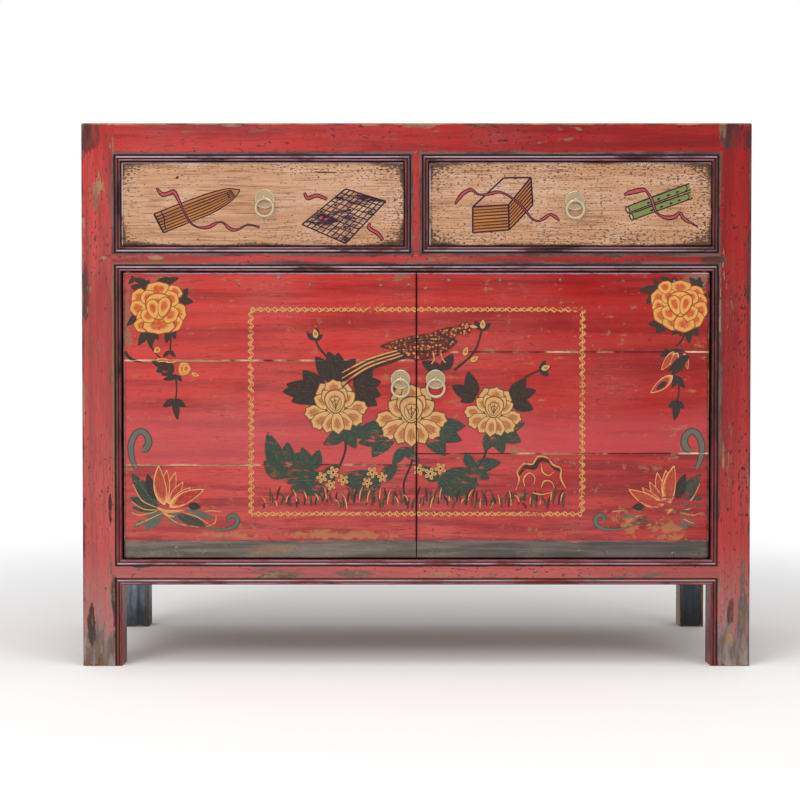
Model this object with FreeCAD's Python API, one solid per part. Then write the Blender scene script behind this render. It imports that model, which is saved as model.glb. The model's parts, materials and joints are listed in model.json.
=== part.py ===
"""Painted sideboard cabinet: two drawers over two doors, on four square legs.

Millimetres, +Z up, front towards -Y, +X to the right seen from the front. The origin is on the floor,
under the middle of the whole cabinet with its ring pulls hanging.
"""

import FreeCAD, Part

import math
import os

# Overall size of the frame
width = 1060.0
depth = 400.0
height = 860.0

# Levels of the front, from the floor up; the door opening takes what is left
leg_height = 129.5
bottom_rail_height = 40.0
middle_rail_height = 39.0
drawer_opening_height = 134.5
top_rail_height = 60.0

# Posts and divider
post_width = 62.5
front_member_depth = 42.0
rear_post_width = 43.0
rear_post_depth = 40.0
post_edge_radius = 5.0
rear_post_edge_bevel = 2.0
divider_width = 38.0
divider_depth = 32.0
head_edge_bevel = 2.5

# Double bead round each opening
inner_bead_width = 4.2
outer_bead_width = 4.8
quirk_width = 1.6
bead_spring_depth = 1.9
inner_bead_drop = 0.6

# Pointed shoulders of the front rails, and their tenons
shoulder_depth = 12.0
shoulder_reach = 15.5
tenon_setback = 16.0
tenon_thickness = 12.0
tenon_length = 40.0
tenon_shoulder = 8.0
top_tenon_drop = 20.0
divider_tenon_length = 14.0
divider_tenon_shoulder = 9.0

# Side and rear rails
frame_rail_thickness = 24.0
frame_rail_inset = 3.0
frame_rail_edge_bevel = 2.0
frame_tenon_thickness = 10.0
side_tenon_wall = 3.0
rear_tenon_length = 28.0

# Panels and boards in grooves
panel_thickness = 10.0
panel_inset = 8.0
panel_tongue = 6.0
tongue_clearance = 1.0
seam_chamfer = 0.9
upright_board_width = 165.0
top_board_thickness = 14.0
board_tongue_thickness = 6.0
floor_board_thickness = 12.0
floor_drop = 6.0
notch_clearance = 0.5
flat_board_width = 115.0

# Battens and bearers
batten_width = 38.0
batten_height = 20.0
batten_spacing = 330.0

# Shelf, its height a share of the door opening
shelf_height_share = 0.4716
shelf_board_thickness = 14.0
shelf_front_setback = 10.0
shelf_end_clearance = 1.0
shelf_bearer_size = 20.0

# Runners, guides and kickers for the drawers
runner_height = 20.0
runner_overlap = 22.0
guide_height = 18.0
guide_clearance = 0.8
kicker_height = 16.0

# Pegs through the tenons
peg_radius = 3.5
peg_sides = 8
peg_inset = 17.0
rear_peg_inset = 9.0
peg_rise = 9.0

# Doors
door_thickness = 18.0
door_recess = 3.0
door_side_gap = 1.6
door_meeting_gap = 1.6
door_top_gap = 2.2
door_bottom_gap = 1.9
door_edge_bevel = 1.5
door_foot_board_height = 28.5
hinge_stile_width = 30.0
stile_tongue_length = 8.0
stile_tongue_thickness = 6.0
pivot_pin_diameter = 10.0
pivot_pin_length = 12.0
pivot_clearance = 0.08
pivot_end_clearance = 0.3
ledge_thickness = 11.0
ledge_height = 34.0
ledge_setback = 12.0
ledge_end_inset = 10.0
door_batten_width = 40.0
stop_height = 7.0
stop_depth = 12.0
stop_clearance = 0.6

# The doors' seams above the foot board, as shares of the height from there to the top
left_door_seam_shares = (0.2828, 0.6727)
right_door_seam_shares = (0.3252, 0.7045)

# Drawers
drawer_back_clearance = 32.5
drawer_front_thickness = 18.0
drawer_recess = 2.5
drawer_gap = 1.5
drawer_front_bottom_gap = 1.5
drawer_run_clearance = 0.3
drawer_side_thickness = 12.0
drawer_side_top_drop = 6.0
drawer_back_thickness = 12.0
drawer_edge_bevel = 1.8
drawer_bottom_thickness = 7.0
drawer_bottom_rise = 10.0
drawer_groove_depth = 5.0
dovetail_length = 12.0
dovetail_height = 24.0
dovetail_flare = 4.0
dovetail_count = 3

# Ring pulls
plate_radius = 15.5
plate_thickness = 1.0
plate_rim_width = 2.6
plate_rim_height = 1.1
plate_boss_radius = 5.0
plate_boss_height = 0.9
ring_outer_radius = 15.5
ring_wire_radius = 1.9
eye_hole_radius = 2.5
eye_wire_radius = 1.1
eye_stand_off = 6.4
eye_shank_radius = 1.6
eye_leg_radius = 0.9
eye_leg_length = 12.0
ring_seat_clearance = 0.35

# Small rounds are made of flats
ring_sides = 24
eye_sides = 16
wire_bevel_share = 0.29

# Where each pull sits: across from the opening's middle or the meeting edge, and up; on a door as a share
left_drawer_pull_shift = 3.2
right_drawer_pull_shift = 7.4
left_drawer_pull_rise = 7.6
right_drawer_pull_rise = 4.7
left_door_pull_inset = 25.3
right_door_pull_inset = 30.5
door_pull_height_share = 0.6268

# How far cutting shapes run past what they cut
overrun = 5.0

# Axis numbers, and what the three add up to
X, Y, Z = range(3)
AXES = X + Y + Z

# A round corner of radius r leaves the square corner by this much of r at its middle
corner_share = 1 - math.sqrt(0.5)

bead_width = inner_bead_width + outer_bead_width + quirk_width
opening_half = width / 2 - post_width
pull_stand_out = eye_stand_off + eye_hole_radius + 2 * eye_wire_radius - min(door_recess, drawer_recess)
front_y = (pull_stand_out - depth) / 2
back_y = front_y + depth
front_inner_y = front_y + front_member_depth
rear_post_y = back_y - rear_post_depth
rear_rail_y = back_y - frame_rail_inset - frame_rail_thickness
side_rail_x = width / 2 - frame_rail_inset
side_inner_x = side_rail_x - frame_rail_thickness
side_tenon_length = front_member_depth - tenon_setback - tenon_thickness - side_tenon_wall

bottom_rail_top = leg_height + bottom_rail_height
top_rail_bottom = height - top_rail_height
middle_rail_top = top_rail_bottom - drawer_opening_height
middle_rail_bottom = middle_rail_top - middle_rail_height
rail_levels = (
    (leg_height, bottom_rail_top),
    (middle_rail_bottom, middle_rail_top),
    (top_rail_bottom, height),
)

door_front_y = front_y + door_recess
door_back_y = door_front_y + door_thickness
door_hinge_x = opening_half - door_side_gap
door_bottom = bottom_rail_top + door_bottom_gap
door_top = middle_rail_bottom - door_top_gap
foot_seam = door_bottom + door_foot_board_height
door_pull_height = door_bottom + door_pull_height_share * (door_top - door_bottom)
shelf_height = bottom_rail_top + shelf_height_share * (middle_rail_bottom - bottom_rail_top)
drawer_length = rear_rail_y - drawer_back_clearance - front_y - drawer_recess
pivot_x = door_hinge_x - door_thickness / 2
pivot_y = door_front_y + door_thickness / 2


def door_seams(shares):
    """The heights of a door's seams, from the foot board's upwards."""
    return (foot_seam, *(foot_seam + share * (door_top - foot_seam) for share in shares))


def point(x, y, z):
    return FreeCAD.Vector(x, y, z)


def box(low, high):
    """The block between two opposite corners."""
    size = [b - a for a, b in zip(low, high)]
    return Part.makeBox(*size, point(*low))


def grown(low, high, by):
    """The block between two corners, larger on each side by the x, y and z given."""
    return box([a - g for a, g in zip(low, by)], [b + g for b, g in zip(high, by)])


def outline(start, steps):
    """A closed face from a start point and steps: (end,) is a line and (middle, end) is an arc."""
    edges = []
    here = start
    for step in steps:
        if len(step) == 1:
            edges.append(Part.LineSegment(here, step[0]).toShape())
        else:
            edges.append(Part.Arc(here, step[0], step[1]).toShape())
        here = step[-1]
    if here.distanceToPoint(start) > 0:
        edges.append(Part.LineSegment(here, start).toShape())
    return Part.Face(Part.Wire(edges))


def polygon(points):
    return Part.Face(Part.makePolygon(list(points) + [points[0]]))


def equal_sided(place, radius, sides):
    """A face with equal sides, as far out as the radius; place turns two offsets into a point."""
    step = 2 * math.pi / sides
    reach = radius / math.cos(step / 2)
    angles = [step * (number + 1 / 2) for number in range(sides)]
    return polygon([place(reach * math.cos(angle), reach * math.sin(angle)) for angle in angles])


def eased_ring(place, along, outer_radius, inner_radius, sides):
    """A ring of straight lengths, as deep as along is long, with its round edges eased."""
    washer = equal_sided(place, outer_radius, sides).cut(equal_sided(place, inner_radius, sides))
    washer = washer.extrude(along)
    round_edges = []
    for edge in washer.Edges:
        start, end = [vertex.Point for vertex in edge.Vertexes]
        if abs((end - start).dot(along)) < along.Length:
            round_edges.append(edge)
    return washer.makeChamfer(wire_bevel_share * (outer_radius - inner_radius), round_edges)


def eased_section(place, across, deep, bevels):
    """A rectangle with its own bevel at each corner, from (0, 0) round to (0, deep); 0 leaves it sharp."""
    corners = ((0, 0, 1, 1), (across, 0, -1, 1), (across, deep, -1, -1), (0, deep, 1, -1))
    points = []
    for order, ((u, v, du, dv), bevel) in enumerate(zip(corners, bevels)):
        ends = [place(u, v + dv * bevel), place(u + du * bevel, v)]
        if order % 2:
            ends.reverse()
        points += ends if bevel else ends[:1]
    return polygon(points)


def bar(low, high, along, bevels):
    """A block with eased long edges. Its section is seen along x, y or z from the negative end."""
    x0, y0, z0 = low
    x1, y1, z1 = high
    if along == "x":
        face = eased_section(lambda u, v: point(x0, y0 + v, z0 + u), z1 - z0, y1 - y0, bevels)
        return face.extrude(point(x1 - x0, 0, 0))
    if along == "y":
        face = eased_section(lambda u, v: point(x0 + u, y0, z0 + v), x1 - x0, z1 - z0, bevels)
        return face.extrude(point(0, y1 - y0, 0))
    face = eased_section(lambda u, v: point(x0 + u, y0 + v, z0), x1 - x0, y1 - y0, bevels)
    return face.extrude(point(0, 0, z1 - z0))


def mirrored(shape):
    """The same piece on the other side of the middle plane."""
    return shape.mirror(point(0, 0, 0), point(1, 0, 0))


def cut_all(shape, cutters):
    for cutter in cutters:
        shape = shape.cut(cutter)
    return shape


def joined(first, others):
    """One solid of touching shapes, without the seams between them."""
    shape = first
    for other in others:
        shape = shape.fuse(other)
    return shape.removeSplitter()


def beads_from_edge(place):
    """Steps from the opening's edge over the inner bead, the outer bead and the quirk, onto the face."""
    outer_end = inner_bead_width + outer_bead_width
    return [
        (place(inner_bead_width / 2, inner_bead_drop), place(inner_bead_width, bead_spring_depth)),
        (place(inner_bead_width + outer_bead_width / 2, 0), place(outer_end, bead_spring_depth)),
        (place(bead_width, bead_spring_depth),),
        (place(bead_width, 0),),
    ]


def beads_to_edge(place):
    """The same steps backwards, from the face to the opening's edge, measured from that edge."""
    outer_end = inner_bead_width + outer_bead_width
    return [
        (place(bead_width, 0),),
        (place(bead_width, bead_spring_depth),),
        (place(outer_end, bead_spring_depth),),
        (place(inner_bead_width + outer_bead_width / 2, 0), place(inner_bead_width, bead_spring_depth)),
        (place(inner_bead_width / 2, inner_bead_drop), place(0, bead_spring_depth)),
    ]


def beaded_section(place, across, deep, far_beads):
    """A member's section, beaded at its near edge and, if asked, at its far edge too."""
    steps = beads_from_edge(place)
    if far_beads:
        steps += beads_to_edge(lambda u, v: place(across - u, v))
    else:
        steps.append((place(across, 0),))
    steps += [(place(across, deep),), (place(0, deep),)]
    return outline(place(0, bead_spring_depth), steps)


def tongue(place, across, pointed):
    """The front layer of a rail's end: it mitres with the beads, then ends in a point or runs square."""
    points = [(0, 0), (bead_width, bead_width)]
    if pointed:
        points += [(shoulder_reach, across / 2), (bead_width, across - bead_width), (0, across)]
    else:
        points += [(bead_width, across + overrun), (0, across + overrun)]
    face = polygon([place(reach, t) for reach, t in points])
    return face.extrude(point(0, shoulder_depth + overrun, 0))


def rail_tongue(low, high):
    """The tongue of a front rail in the left post."""
    place = lambda reach, t: point(-opening_half - reach, front_y - overrun, low + t)
    return tongue(place, high - low, high < height)


def rail_tenon(low, high):
    """The tenon of a front rail in the left post."""
    top = high - (tenon_shoulder if high < height else top_tenon_drop)
    return box(
        (-opening_half - tenon_length, front_y + tenon_setback, low + tenon_shoulder),
        (-opening_half, front_y + tenon_setback + tenon_thickness, top),
    )


def front_rail(low, high):
    """A front rail with its beads, pointed tongues and tenons."""
    place = lambda u, v: point(-opening_half - shoulder_reach, front_y + v, low + u)
    section = beaded_section(place, high - low, front_member_depth, high < height)
    blank = section.extrude(point(2 * (opening_half + shoulder_reach), 0, 0))
    left = rail_tongue(low, high)
    core = box(
        (-opening_half, front_y - overrun, low - overrun),
        (opening_half, front_inner_y + overrun, high + overrun),
    )
    rail = blank.common(core.fuse([left, mirrored(left)]))
    tenon = rail_tenon(low, high)
    return joined(rail, [tenon, mirrored(tenon)])


def divider_tongues():
    """The divider's tongues in the middle rail and the top rail."""
    down = lambda reach, t: point(t - divider_width / 2, front_y - overrun, middle_rail_top - reach)
    up = lambda reach, t: point(t - divider_width / 2, front_y - overrun, top_rail_bottom + reach)
    return [tongue(down, divider_width, True), tongue(up, divider_width, True)]


def divider_tenons():
    half = divider_width / 2 - divider_tenon_shoulder
    tenon_y = front_y + tenon_setback
    return [
        box((-half, tenon_y, low), (half, tenon_y + frame_tenon_thickness, low + divider_tenon_length))
        for low in (middle_rail_top - divider_tenon_length, top_rail_bottom)
    ]


def drawer_divider():
    """The upright between the drawers, beaded on both edges."""
    place = lambda u, v: point(u - divider_width / 2, front_y + v, middle_rail_top - shoulder_reach)
    section = beaded_section(place, divider_width, divider_depth, True)
    blank = section.extrude(point(0, 0, drawer_opening_height + 2 * shoulder_reach))
    core = box(
        (-divider_width, front_y - overrun, middle_rail_top),
        (divider_width, front_inner_y, top_rail_bottom),
    )
    return joined(blank.common(core.fuse(divider_tongues())), divider_tenons())


def side_tenon(low, high, y):
    """A tenon of a left side rail, in the post that starts or ends at y."""
    top = high - (tenon_shoulder if high < height else top_tenon_drop)
    middle = -side_rail_x + frame_rail_thickness / 2
    half = frame_tenon_thickness / 2
    return box((middle - half, y, low + tenon_shoulder), (middle + half, y + side_tenon_length, top))


def rear_tenon(low, high):
    """The left tenon of a rear rail."""
    top = high - (tenon_shoulder if high < height else top_tenon_drop)
    middle = rear_rail_y + frame_rail_thickness / 2
    half = frame_tenon_thickness / 2
    inner = rear_post_width - width / 2
    root = inner - rear_tenon_length
    return box((root, middle - half, low + tenon_shoulder), (inner, middle + half, top))


def side_rails():
    """The left side's bottom, middle and top rails."""
    bevels = (frame_rail_edge_bevel, 0, 0, frame_rail_edge_bevel)
    rails = []
    for low, high in rail_levels:
        rail = bar((-side_rail_x, front_inner_y, low), (-side_inner_x, rear_post_y, high), "y", bevels)
        starts = (front_inner_y - side_tenon_length, rear_post_y)
        rails.append(joined(rail, [side_tenon(low, high, start) for start in starts]))
    return rails


def rear_rail(low, high):
    inner = width / 2 - rear_post_width
    bevels = (0, 0, frame_rail_edge_bevel, frame_rail_edge_bevel)
    rail_back = rear_rail_y + frame_rail_thickness
    rail = bar((-inner, rear_rail_y, low), (inner, rail_back, high), "x", bevels)
    tenon = rear_tenon(low, high)
    return joined(rail, [tenon, mirrored(tenon)])


def side_panel_corners(low, high):
    """Corners of a left side panel between two rails, its tongues included."""
    outer = -side_rail_x + panel_inset
    return (
        (outer, front_inner_y - panel_tongue, low - panel_tongue),
        (outer + panel_thickness, rear_post_y + panel_tongue, high + panel_tongue),
    )


def back_panel_corners(low, high):
    """Corners of a back panel between two rails, its tongues included."""
    back = rear_rail_y + frame_rail_thickness - panel_inset
    inner = width / 2 - rear_post_width
    return (
        (-inner - panel_tongue, back - panel_thickness, low - panel_tongue),
        (inner + panel_tongue, back, high + panel_tongue),
    )


panel_levels = ((bottom_rail_top, middle_rail_bottom), (middle_rail_top, top_rail_bottom))


def panel_grooves():
    """Grooves for the left side panels and the back panels, a little deeper than the tongues."""
    side_room = (0, tongue_clearance, tongue_clearance)
    back_room = (tongue_clearance, 0, tongue_clearance)
    side = [grown(*side_panel_corners(*ends), side_room) for ends in panel_levels]
    return side + [grown(*back_panel_corners(*ends), back_room) for ends in panel_levels]


def flat_board_corners(top, thickness):
    """Corners of a field of boards inside the frame, without and with its tongues."""
    field = (
        (-side_inner_x, front_inner_y, top - thickness),
        (side_inner_x, rear_rail_y, top),
    )
    (x0, y0, z0), (x1, y1, z1) = field
    tongue_low = (x0 - panel_tongue, y0 - panel_tongue, z0)
    tongue_high = (x1 + panel_tongue, y1 + panel_tongue, z0 + board_tongue_thickness)
    return field, (tongue_low, tongue_high)


def flat_board_grooves():
    """Grooves for the top boards and the floor boards."""
    floor_top = bottom_rail_top - floor_drop
    grooves = []
    for top, thickness in ((height, top_board_thickness), (floor_top, floor_board_thickness)):
        tongues = flat_board_corners(top, thickness)[1]
        grooves.append(grown(*tongues, (tongue_clearance, tongue_clearance, 0)))
    return grooves


def peg(x, y, z, length):
    """An eight-sided peg that runs back from y."""
    face = equal_sided(lambda a, b: point(x + a, y, z + b), peg_radius, peg_sides)
    return face.extrude(point(0, length, 0))


def joint_pegs():
    """Pegs from inside the cabinet through the tenons of the front and rear rails."""
    front_length = front_member_depth - shoulder_depth
    rear_start = rear_post_y
    rear_length = rear_rail_y + frame_rail_thickness - rear_start
    pegs = []
    front_x = -opening_half - peg_inset
    rear_x = rear_post_width - width / 2 - rear_peg_inset
    for low, high in rail_levels:
        peg_z = low + tenon_shoulder + peg_rise
        pegs.append(peg(front_x, front_inner_y - front_length, peg_z, front_length))
        pegs.append(peg(rear_x, rear_start, peg_z, rear_length))
    return pegs + [mirrored(shape) for shape in pegs]


def head_envelope():
    """The frame's outer block, with the edges of its top eased."""
    half = width / 2
    bevel = head_edge_bevel
    across = bar((-half, front_y, 0), (half, back_y, height), "y", (0, 0, bevel, bevel))
    along = bar((-half, front_y, 0), (half, back_y, height), "x", (0, bevel, bevel, 0))
    return across.common(along)


def front_post():
    """The left front post, beaded down to the floor, with its notches, mortises and grooves."""
    place = lambda u, v: point(-opening_half - u, front_y + v, 0)
    bend = post_edge_radius * corner_share
    steps = beads_from_edge(place) + [
        (place(post_width - post_edge_radius, 0),),
        (place(post_width - bend, bend), place(post_width, post_edge_radius)),
        (place(post_width, front_member_depth),),
        (place(0, front_member_depth),),
    ]
    post = outline(place(0, bead_spring_depth), steps).extrude(point(0, 0, height))
    for low, high in rail_levels:
        joints = [rail_tongue(low, high), rail_tenon(low, high)]
        joints.append(side_tenon(low, high, front_inner_y - side_tenon_length))
        post = cut_all(post, joints)
    return cut_all(post, panel_grooves() + flat_board_grooves() + joint_pegs())


def rear_post():
    """The left rear post."""
    bevel = rear_post_edge_bevel
    low = (-width / 2, rear_post_y, 0)
    high = (rear_post_width - width / 2, back_y, height)
    post = bar(low, high, "z", (0, bevel, bevel, bevel))
    for low, high in rail_levels:
        post = cut_all(post, [rear_tenon(low, high), side_tenon(low, high, rear_post_y)])
    return cut_all(post, panel_grooves() + joint_pegs())


def rear_post_notches():
    """Room for the rear posts at the corners of boards."""
    inner = width / 2 - rear_post_width
    low = (-width / 2, rear_post_y - notch_clearance, 0)
    high = (-inner + notch_clearance, back_y, height)
    notch = box(low, high)
    return [notch, mirrored(notch)]


def seam_places(start, end, board_width):
    """Where boards of about one width begin and end between two places."""
    count = max(1, round((end - start) / board_width))
    return [start + (end - start) * number / count for number in range(count + 1)]


def board_row(whole, low, high, axis, board_width, cutters):
    """A field between two corners, parted into boards that lie side by side along an axis."""
    edges = seam_places(low[axis], high[axis], board_width)
    boards = []
    for near, far in zip(edges, edges[1:]):
        slab_low = [value - overrun for value in low]
        slab_high = [value + overrun for value in high]
        slab_low[axis] = near
        slab_high[axis] = far
        boards.append(cut_all(whole.common(box(slab_low, slab_high)), cutters))
    return boards


def seam_grooves(low, high, axis, board_width, face_axis, from_top):
    """Fine V grooves along the seams between boards, on the lower or upper face of face_axis."""
    run_axis = AXES - axis - face_axis
    face_at = high[face_axis] if from_top else low[face_axis]
    sink = -seam_chamfer if from_top else seam_chamfer
    grooves = []
    for seam in seam_places(low[axis], high[axis], board_width)[1:-1]:
        corners = []
        for across, down in ((-seam_chamfer, 0), (0, sink), (seam_chamfer, 0)):
            corner = [0, 0, 0]
            corner[axis] = seam + across
            corner[face_axis] = face_at + down
            corner[run_axis] = low[run_axis] - overrun
            corners.append(point(*corner))
        way = [0, 0, 0]
        way[run_axis] = high[run_axis] - low[run_axis] + 2 * overrun
        grooves.append(polygon(corners).extrude(point(*way)))
    return grooves


def side_panels():
    """The left side's lower and upper panels, of upright boards."""
    panels = []
    for ends in panel_levels:
        low, high = side_panel_corners(*ends)
        grooves = seam_grooves(low, high, Y, upright_board_width, X, False)
        panels += board_row(box(low, high), low, high, Y, upright_board_width, grooves)
    return panels


def back_boards():
    """The upright boards of the back, below and above the middle rail."""
    boards = []
    for ends in panel_levels:
        low, high = back_panel_corners(*ends)
        grooves = seam_grooves(low, high, X, upright_board_width, Y, True)
        boards += board_row(box(low, high), low, high, X, upright_board_width, grooves)
    return boards


def flat_boards(top, thickness):
    """Boards that run the cabinet's length, tongued into the frame all round."""
    field, tongues = flat_board_corners(top, thickness)
    whole = joined(box(*field), [box(*tongues)])
    low = tongues[0]
    high = (tongues[1][0], tongues[1][1], top)
    cutters = rear_post_notches() + seam_grooves(low, high, Y, flat_board_width, Z, True)
    return board_row(whole, low, high, Y, flat_board_width, cutters)


def battens(top):
    """Three battens across the underside of boards, from the front rail to the rear rail."""
    bevels = (frame_rail_edge_bevel, frame_rail_edge_bevel, 0, 0)
    strips = []
    for number in (-1, 0, 1):
        middle = number * batten_spacing
        low = (middle - batten_width / 2, front_inner_y, top - batten_height)
        high = (middle + batten_width / 2, rear_rail_y, top)
        strips.append(bar(low, high, "y", bevels))
    return strips


def shelf_corners():
    inner = side_rail_x - panel_inset - panel_thickness - shelf_end_clearance
    back = rear_rail_y + frame_rail_thickness - panel_inset - panel_thickness - shelf_end_clearance
    return (
        (-inner, front_inner_y + shelf_front_setback, shelf_height - shelf_board_thickness),
        (inner, back, shelf_height),
    )


def shelf_boards():
    low, high = shelf_corners()
    cutters = rear_post_notches() + seam_grooves(low, high, Y, flat_board_width, Z, True)
    return board_row(box(low, high), low, high, Y, flat_board_width, cutters)


def shelf_bearers():
    """Strips between the posts under each end of the shelf."""
    outer = side_rail_x - panel_inset - panel_thickness
    top = shelf_height - shelf_board_thickness
    bevels = (frame_rail_edge_bevel, frame_rail_edge_bevel, 0, 0)
    left = bar(
        (-outer, front_inner_y, top - shelf_bearer_size),
        (shelf_bearer_size - outer, rear_post_y, top),
        "y",
        bevels,
    )
    return [left, mirrored(left)]


def drawer_span(side):
    """The x of a drawer's two sides in its opening; side is -1 on the left and 1 on the right."""
    near = side * (divider_width / 2 + drawer_gap)
    far = side * (opening_half - drawer_gap)
    return min(near, far), max(near, far)


def drawer_strips(low, strip_height, overlap):
    """Outer strips and a shared middle one from front to back, which reach under or beside the drawers."""
    high = low + strip_height
    outer_edge = drawer_span(-1)[0] + overlap
    outer = box((-side_inner_x, front_inner_y, low), (outer_edge, rear_rail_y, high))
    outer = cut_all(outer, rear_post_notches())
    half = drawer_span(1)[0] + overlap
    centre = box((-half, front_inner_y, low), (half, rear_rail_y, high))
    return [outer, centre, mirrored(outer)]


def drawer_runners():
    """Strips under the drawers' sides, level with the middle rail."""
    return drawer_strips(middle_rail_top - runner_height, runner_height, runner_overlap)


def drawer_guides():
    """Strips on the runners that keep the drawers straight."""
    return drawer_strips(middle_rail_top, guide_height, -guide_clearance)


def drawer_kickers():
    """Strips over the drawers' sides that keep an open drawer from tipping."""
    return drawer_strips(top_rail_bottom, kicker_height, runner_overlap)


def door_stops():
    """Strips behind the doors' lower and upper edges."""
    near = door_back_y + stop_clearance
    stops = []
    for low in (bottom_rail_top, middle_rail_bottom - stop_height):
        stops.append(box((-opening_half, near, low), (opening_half, near + stop_depth, low + stop_height)))
    return stops


def pivot_sockets():
    """Sockets for the doors' pins in the middle and bottom rails."""
    radius = pivot_pin_diameter / 2 + pivot_clearance
    length = pivot_pin_length + pivot_end_clearance
    sockets = []
    for at, way in ((door_bottom, -1), (door_top, 1)):
        left = Part.makeCylinder(radius, length, point(-pivot_x, pivot_y, at), point(0, 0, way))
        sockets += [left, mirrored(left)]
    return sockets


def hinge_stile():
    """The left door's hinge stile: its outer edge is round about the pins at its ends."""
    face = outline(
        point(-pivot_x, door_front_y, door_bottom),
        [
            (point(-door_hinge_x, pivot_y, door_bottom), point(-pivot_x, door_back_y, door_bottom)),
            (point(hinge_stile_width - door_hinge_x, door_back_y, door_bottom),),
            (point(hinge_stile_width - door_hinge_x, door_front_y, door_bottom),),
        ],
    )
    stile = face.extrude(point(0, 0, door_top - door_bottom))
    pins = []
    for at, way in ((door_bottom, -1), (door_top, 1)):
        pin = Part.makeCylinder(
            pivot_pin_diameter / 2, pivot_pin_length, point(-pivot_x, pivot_y, at), point(0, 0, way)
        )
        pins.append(pin)
    groove = box(
        (hinge_stile_width - door_hinge_x - stile_tongue_length - tongue_clearance, *tongue_span()[0]),
        (hinge_stile_width - door_hinge_x, *tongue_span()[1]),
    )
    return joined(stile, pins).cut(groove)


def tongue_span():
    """The y and z between which the boards' tongues lie in the hinge stile."""
    low = pivot_y - stile_tongue_thickness / 2
    return (low, door_bottom + ledge_setback), (low + stile_tongue_thickness, door_top - ledge_setback)


def door_boards(seams):
    """The left door's foot, lower, middle and upper boards, with their seams at the heights given."""
    left = hinge_stile_width - door_hinge_x
    right = -door_meeting_gap / 2
    levels = (door_bottom, *seams, door_top)
    (tongue_y, tongue_low), (tongue_back, tongue_high) = tongue_span()
    boards = []
    for low, high in zip(levels, levels[1:]):
        lower_bevel = door_edge_bevel if low == levels[0] else seam_chamfer
        upper_bevel = door_edge_bevel if high == levels[-1] else seam_chamfer
        bevels = (lower_bevel, upper_bevel, 0, 0)
        board = bar((left, door_front_y, low), (right, door_back_y, high), "x", bevels)
        end_low = max(low, tongue_low)
        end_high = min(high, tongue_high)
        end = box((left - stile_tongue_length, tongue_y, end_low), (left, tongue_back, end_high))
        boards.append(joined(board, [end]))
    return boards


def door_battens():
    """The ledges along top and bottom of the left door's back, and the battens between them."""
    left = hinge_stile_width - door_hinge_x + ledge_end_inset
    right = -door_meeting_gap / 2 - ledge_end_inset
    back = door_back_y + ledge_thickness
    bevels = (0, 0, frame_rail_edge_bevel, frame_rail_edge_bevel)
    low_ledge = door_bottom + ledge_setback
    high_ledge = door_top - ledge_setback - ledge_height
    pieces = []
    for low in (low_ledge, high_ledge):
        pieces.append(bar((left, door_back_y, low), (right, back, low + ledge_height), "x", bevels))
    for start in (left, right - door_batten_width):
        low = (start, door_back_y, low_ledge + ledge_height)
        high = (start + door_batten_width, back, high_ledge)
        pieces.append(bar(low, high, "z", (0, 0, frame_rail_edge_bevel, frame_rail_edge_bevel)))
    return pieces


def dovetails(low, high, y, way):
    """Tails that widen away from y; way is -1 towards the front and 1 towards the back."""
    (x0, z0), (x1, z1) = low, high
    pitch = (z1 - z0) / dovetail_count
    tails = []
    for number in range(dovetail_count):
        middle = z0 + pitch * (number + 1 / 2)
        root = dovetail_height / 2 - dovetail_flare
        tip = dovetail_height / 2
        length = dovetail_length if way < 0 else drawer_back_thickness
        corners = [(y, middle - root), (y + way * length, middle - tip)]
        corners += [(y + way * length, middle + tip), (y, middle + root)]
        face = polygon([point(x0, a, b) for a, b in corners])
        tails.append(face.extrude(point(x1 - x0, 0, 0)))
    return tails


def drawer_pieces(side):
    """A drawer's front, sides, back and bottom, as a dictionary."""
    left, right = drawer_span(side)
    near = front_y + drawer_recess
    inside = near + drawer_front_thickness
    far = near + drawer_length
    low = middle_rail_top + drawer_run_clearance
    front_low = middle_rail_top + drawer_front_bottom_gap
    front_high = top_rail_bottom - drawer_gap
    high = front_high - drawer_side_top_drop
    bevel = drawer_edge_bevel
    front = bar((left, near, front_low), (right, inside, front_high), "x", (bevel, bevel, 0, 0))
    bottom_z = low + drawer_bottom_rise
    back_low = bottom_z + drawer_bottom_thickness
    bottom = box(
        (left + drawer_side_thickness - drawer_groove_depth, inside - drawer_groove_depth, bottom_z),
        (right - drawer_side_thickness + drawer_groove_depth, far, back_low),
    )
    sides = []
    for start in (left, right - drawer_side_thickness):
        end = start + drawer_side_thickness
        board = box((start, inside, low), (end, far - drawer_back_thickness, high))
        tails = dovetails((start, front_low), (end, high), inside, -1)
        tails += dovetails((start, back_low), (end, high), far - drawer_back_thickness, 1)
        sides.append(joined(board, tails))
    back = box((left, far - drawer_back_thickness, back_low), (right, far, high))
    return {
        "front": [cut_all(front, sides + [bottom])],
        "sides": [shape.cut(bottom) for shape in sides],
        "back": [cut_all(back, sides)],
        "bottom": [bottom],
    }


def pull_plate(x, face_y, z):
    """A round back plate with a raised rim and a low boss in its middle."""
    place = lambda a, b: point(x + a, face_y, z + b)
    disc = equal_sided(place, plate_radius, ring_sides).extrude(point(0, -plate_thickness, 0))
    boss_height = plate_thickness + plate_boss_height
    boss = equal_sided(place, plate_boss_radius, eye_sides).extrude(point(0, -boss_height, 0))
    rim_way = point(0, -plate_thickness - plate_rim_height, 0)
    rim = eased_ring(place, rim_way, plate_radius, plate_radius - plate_rim_width, ring_sides)
    return joined(disc, [rim, boss])


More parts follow.
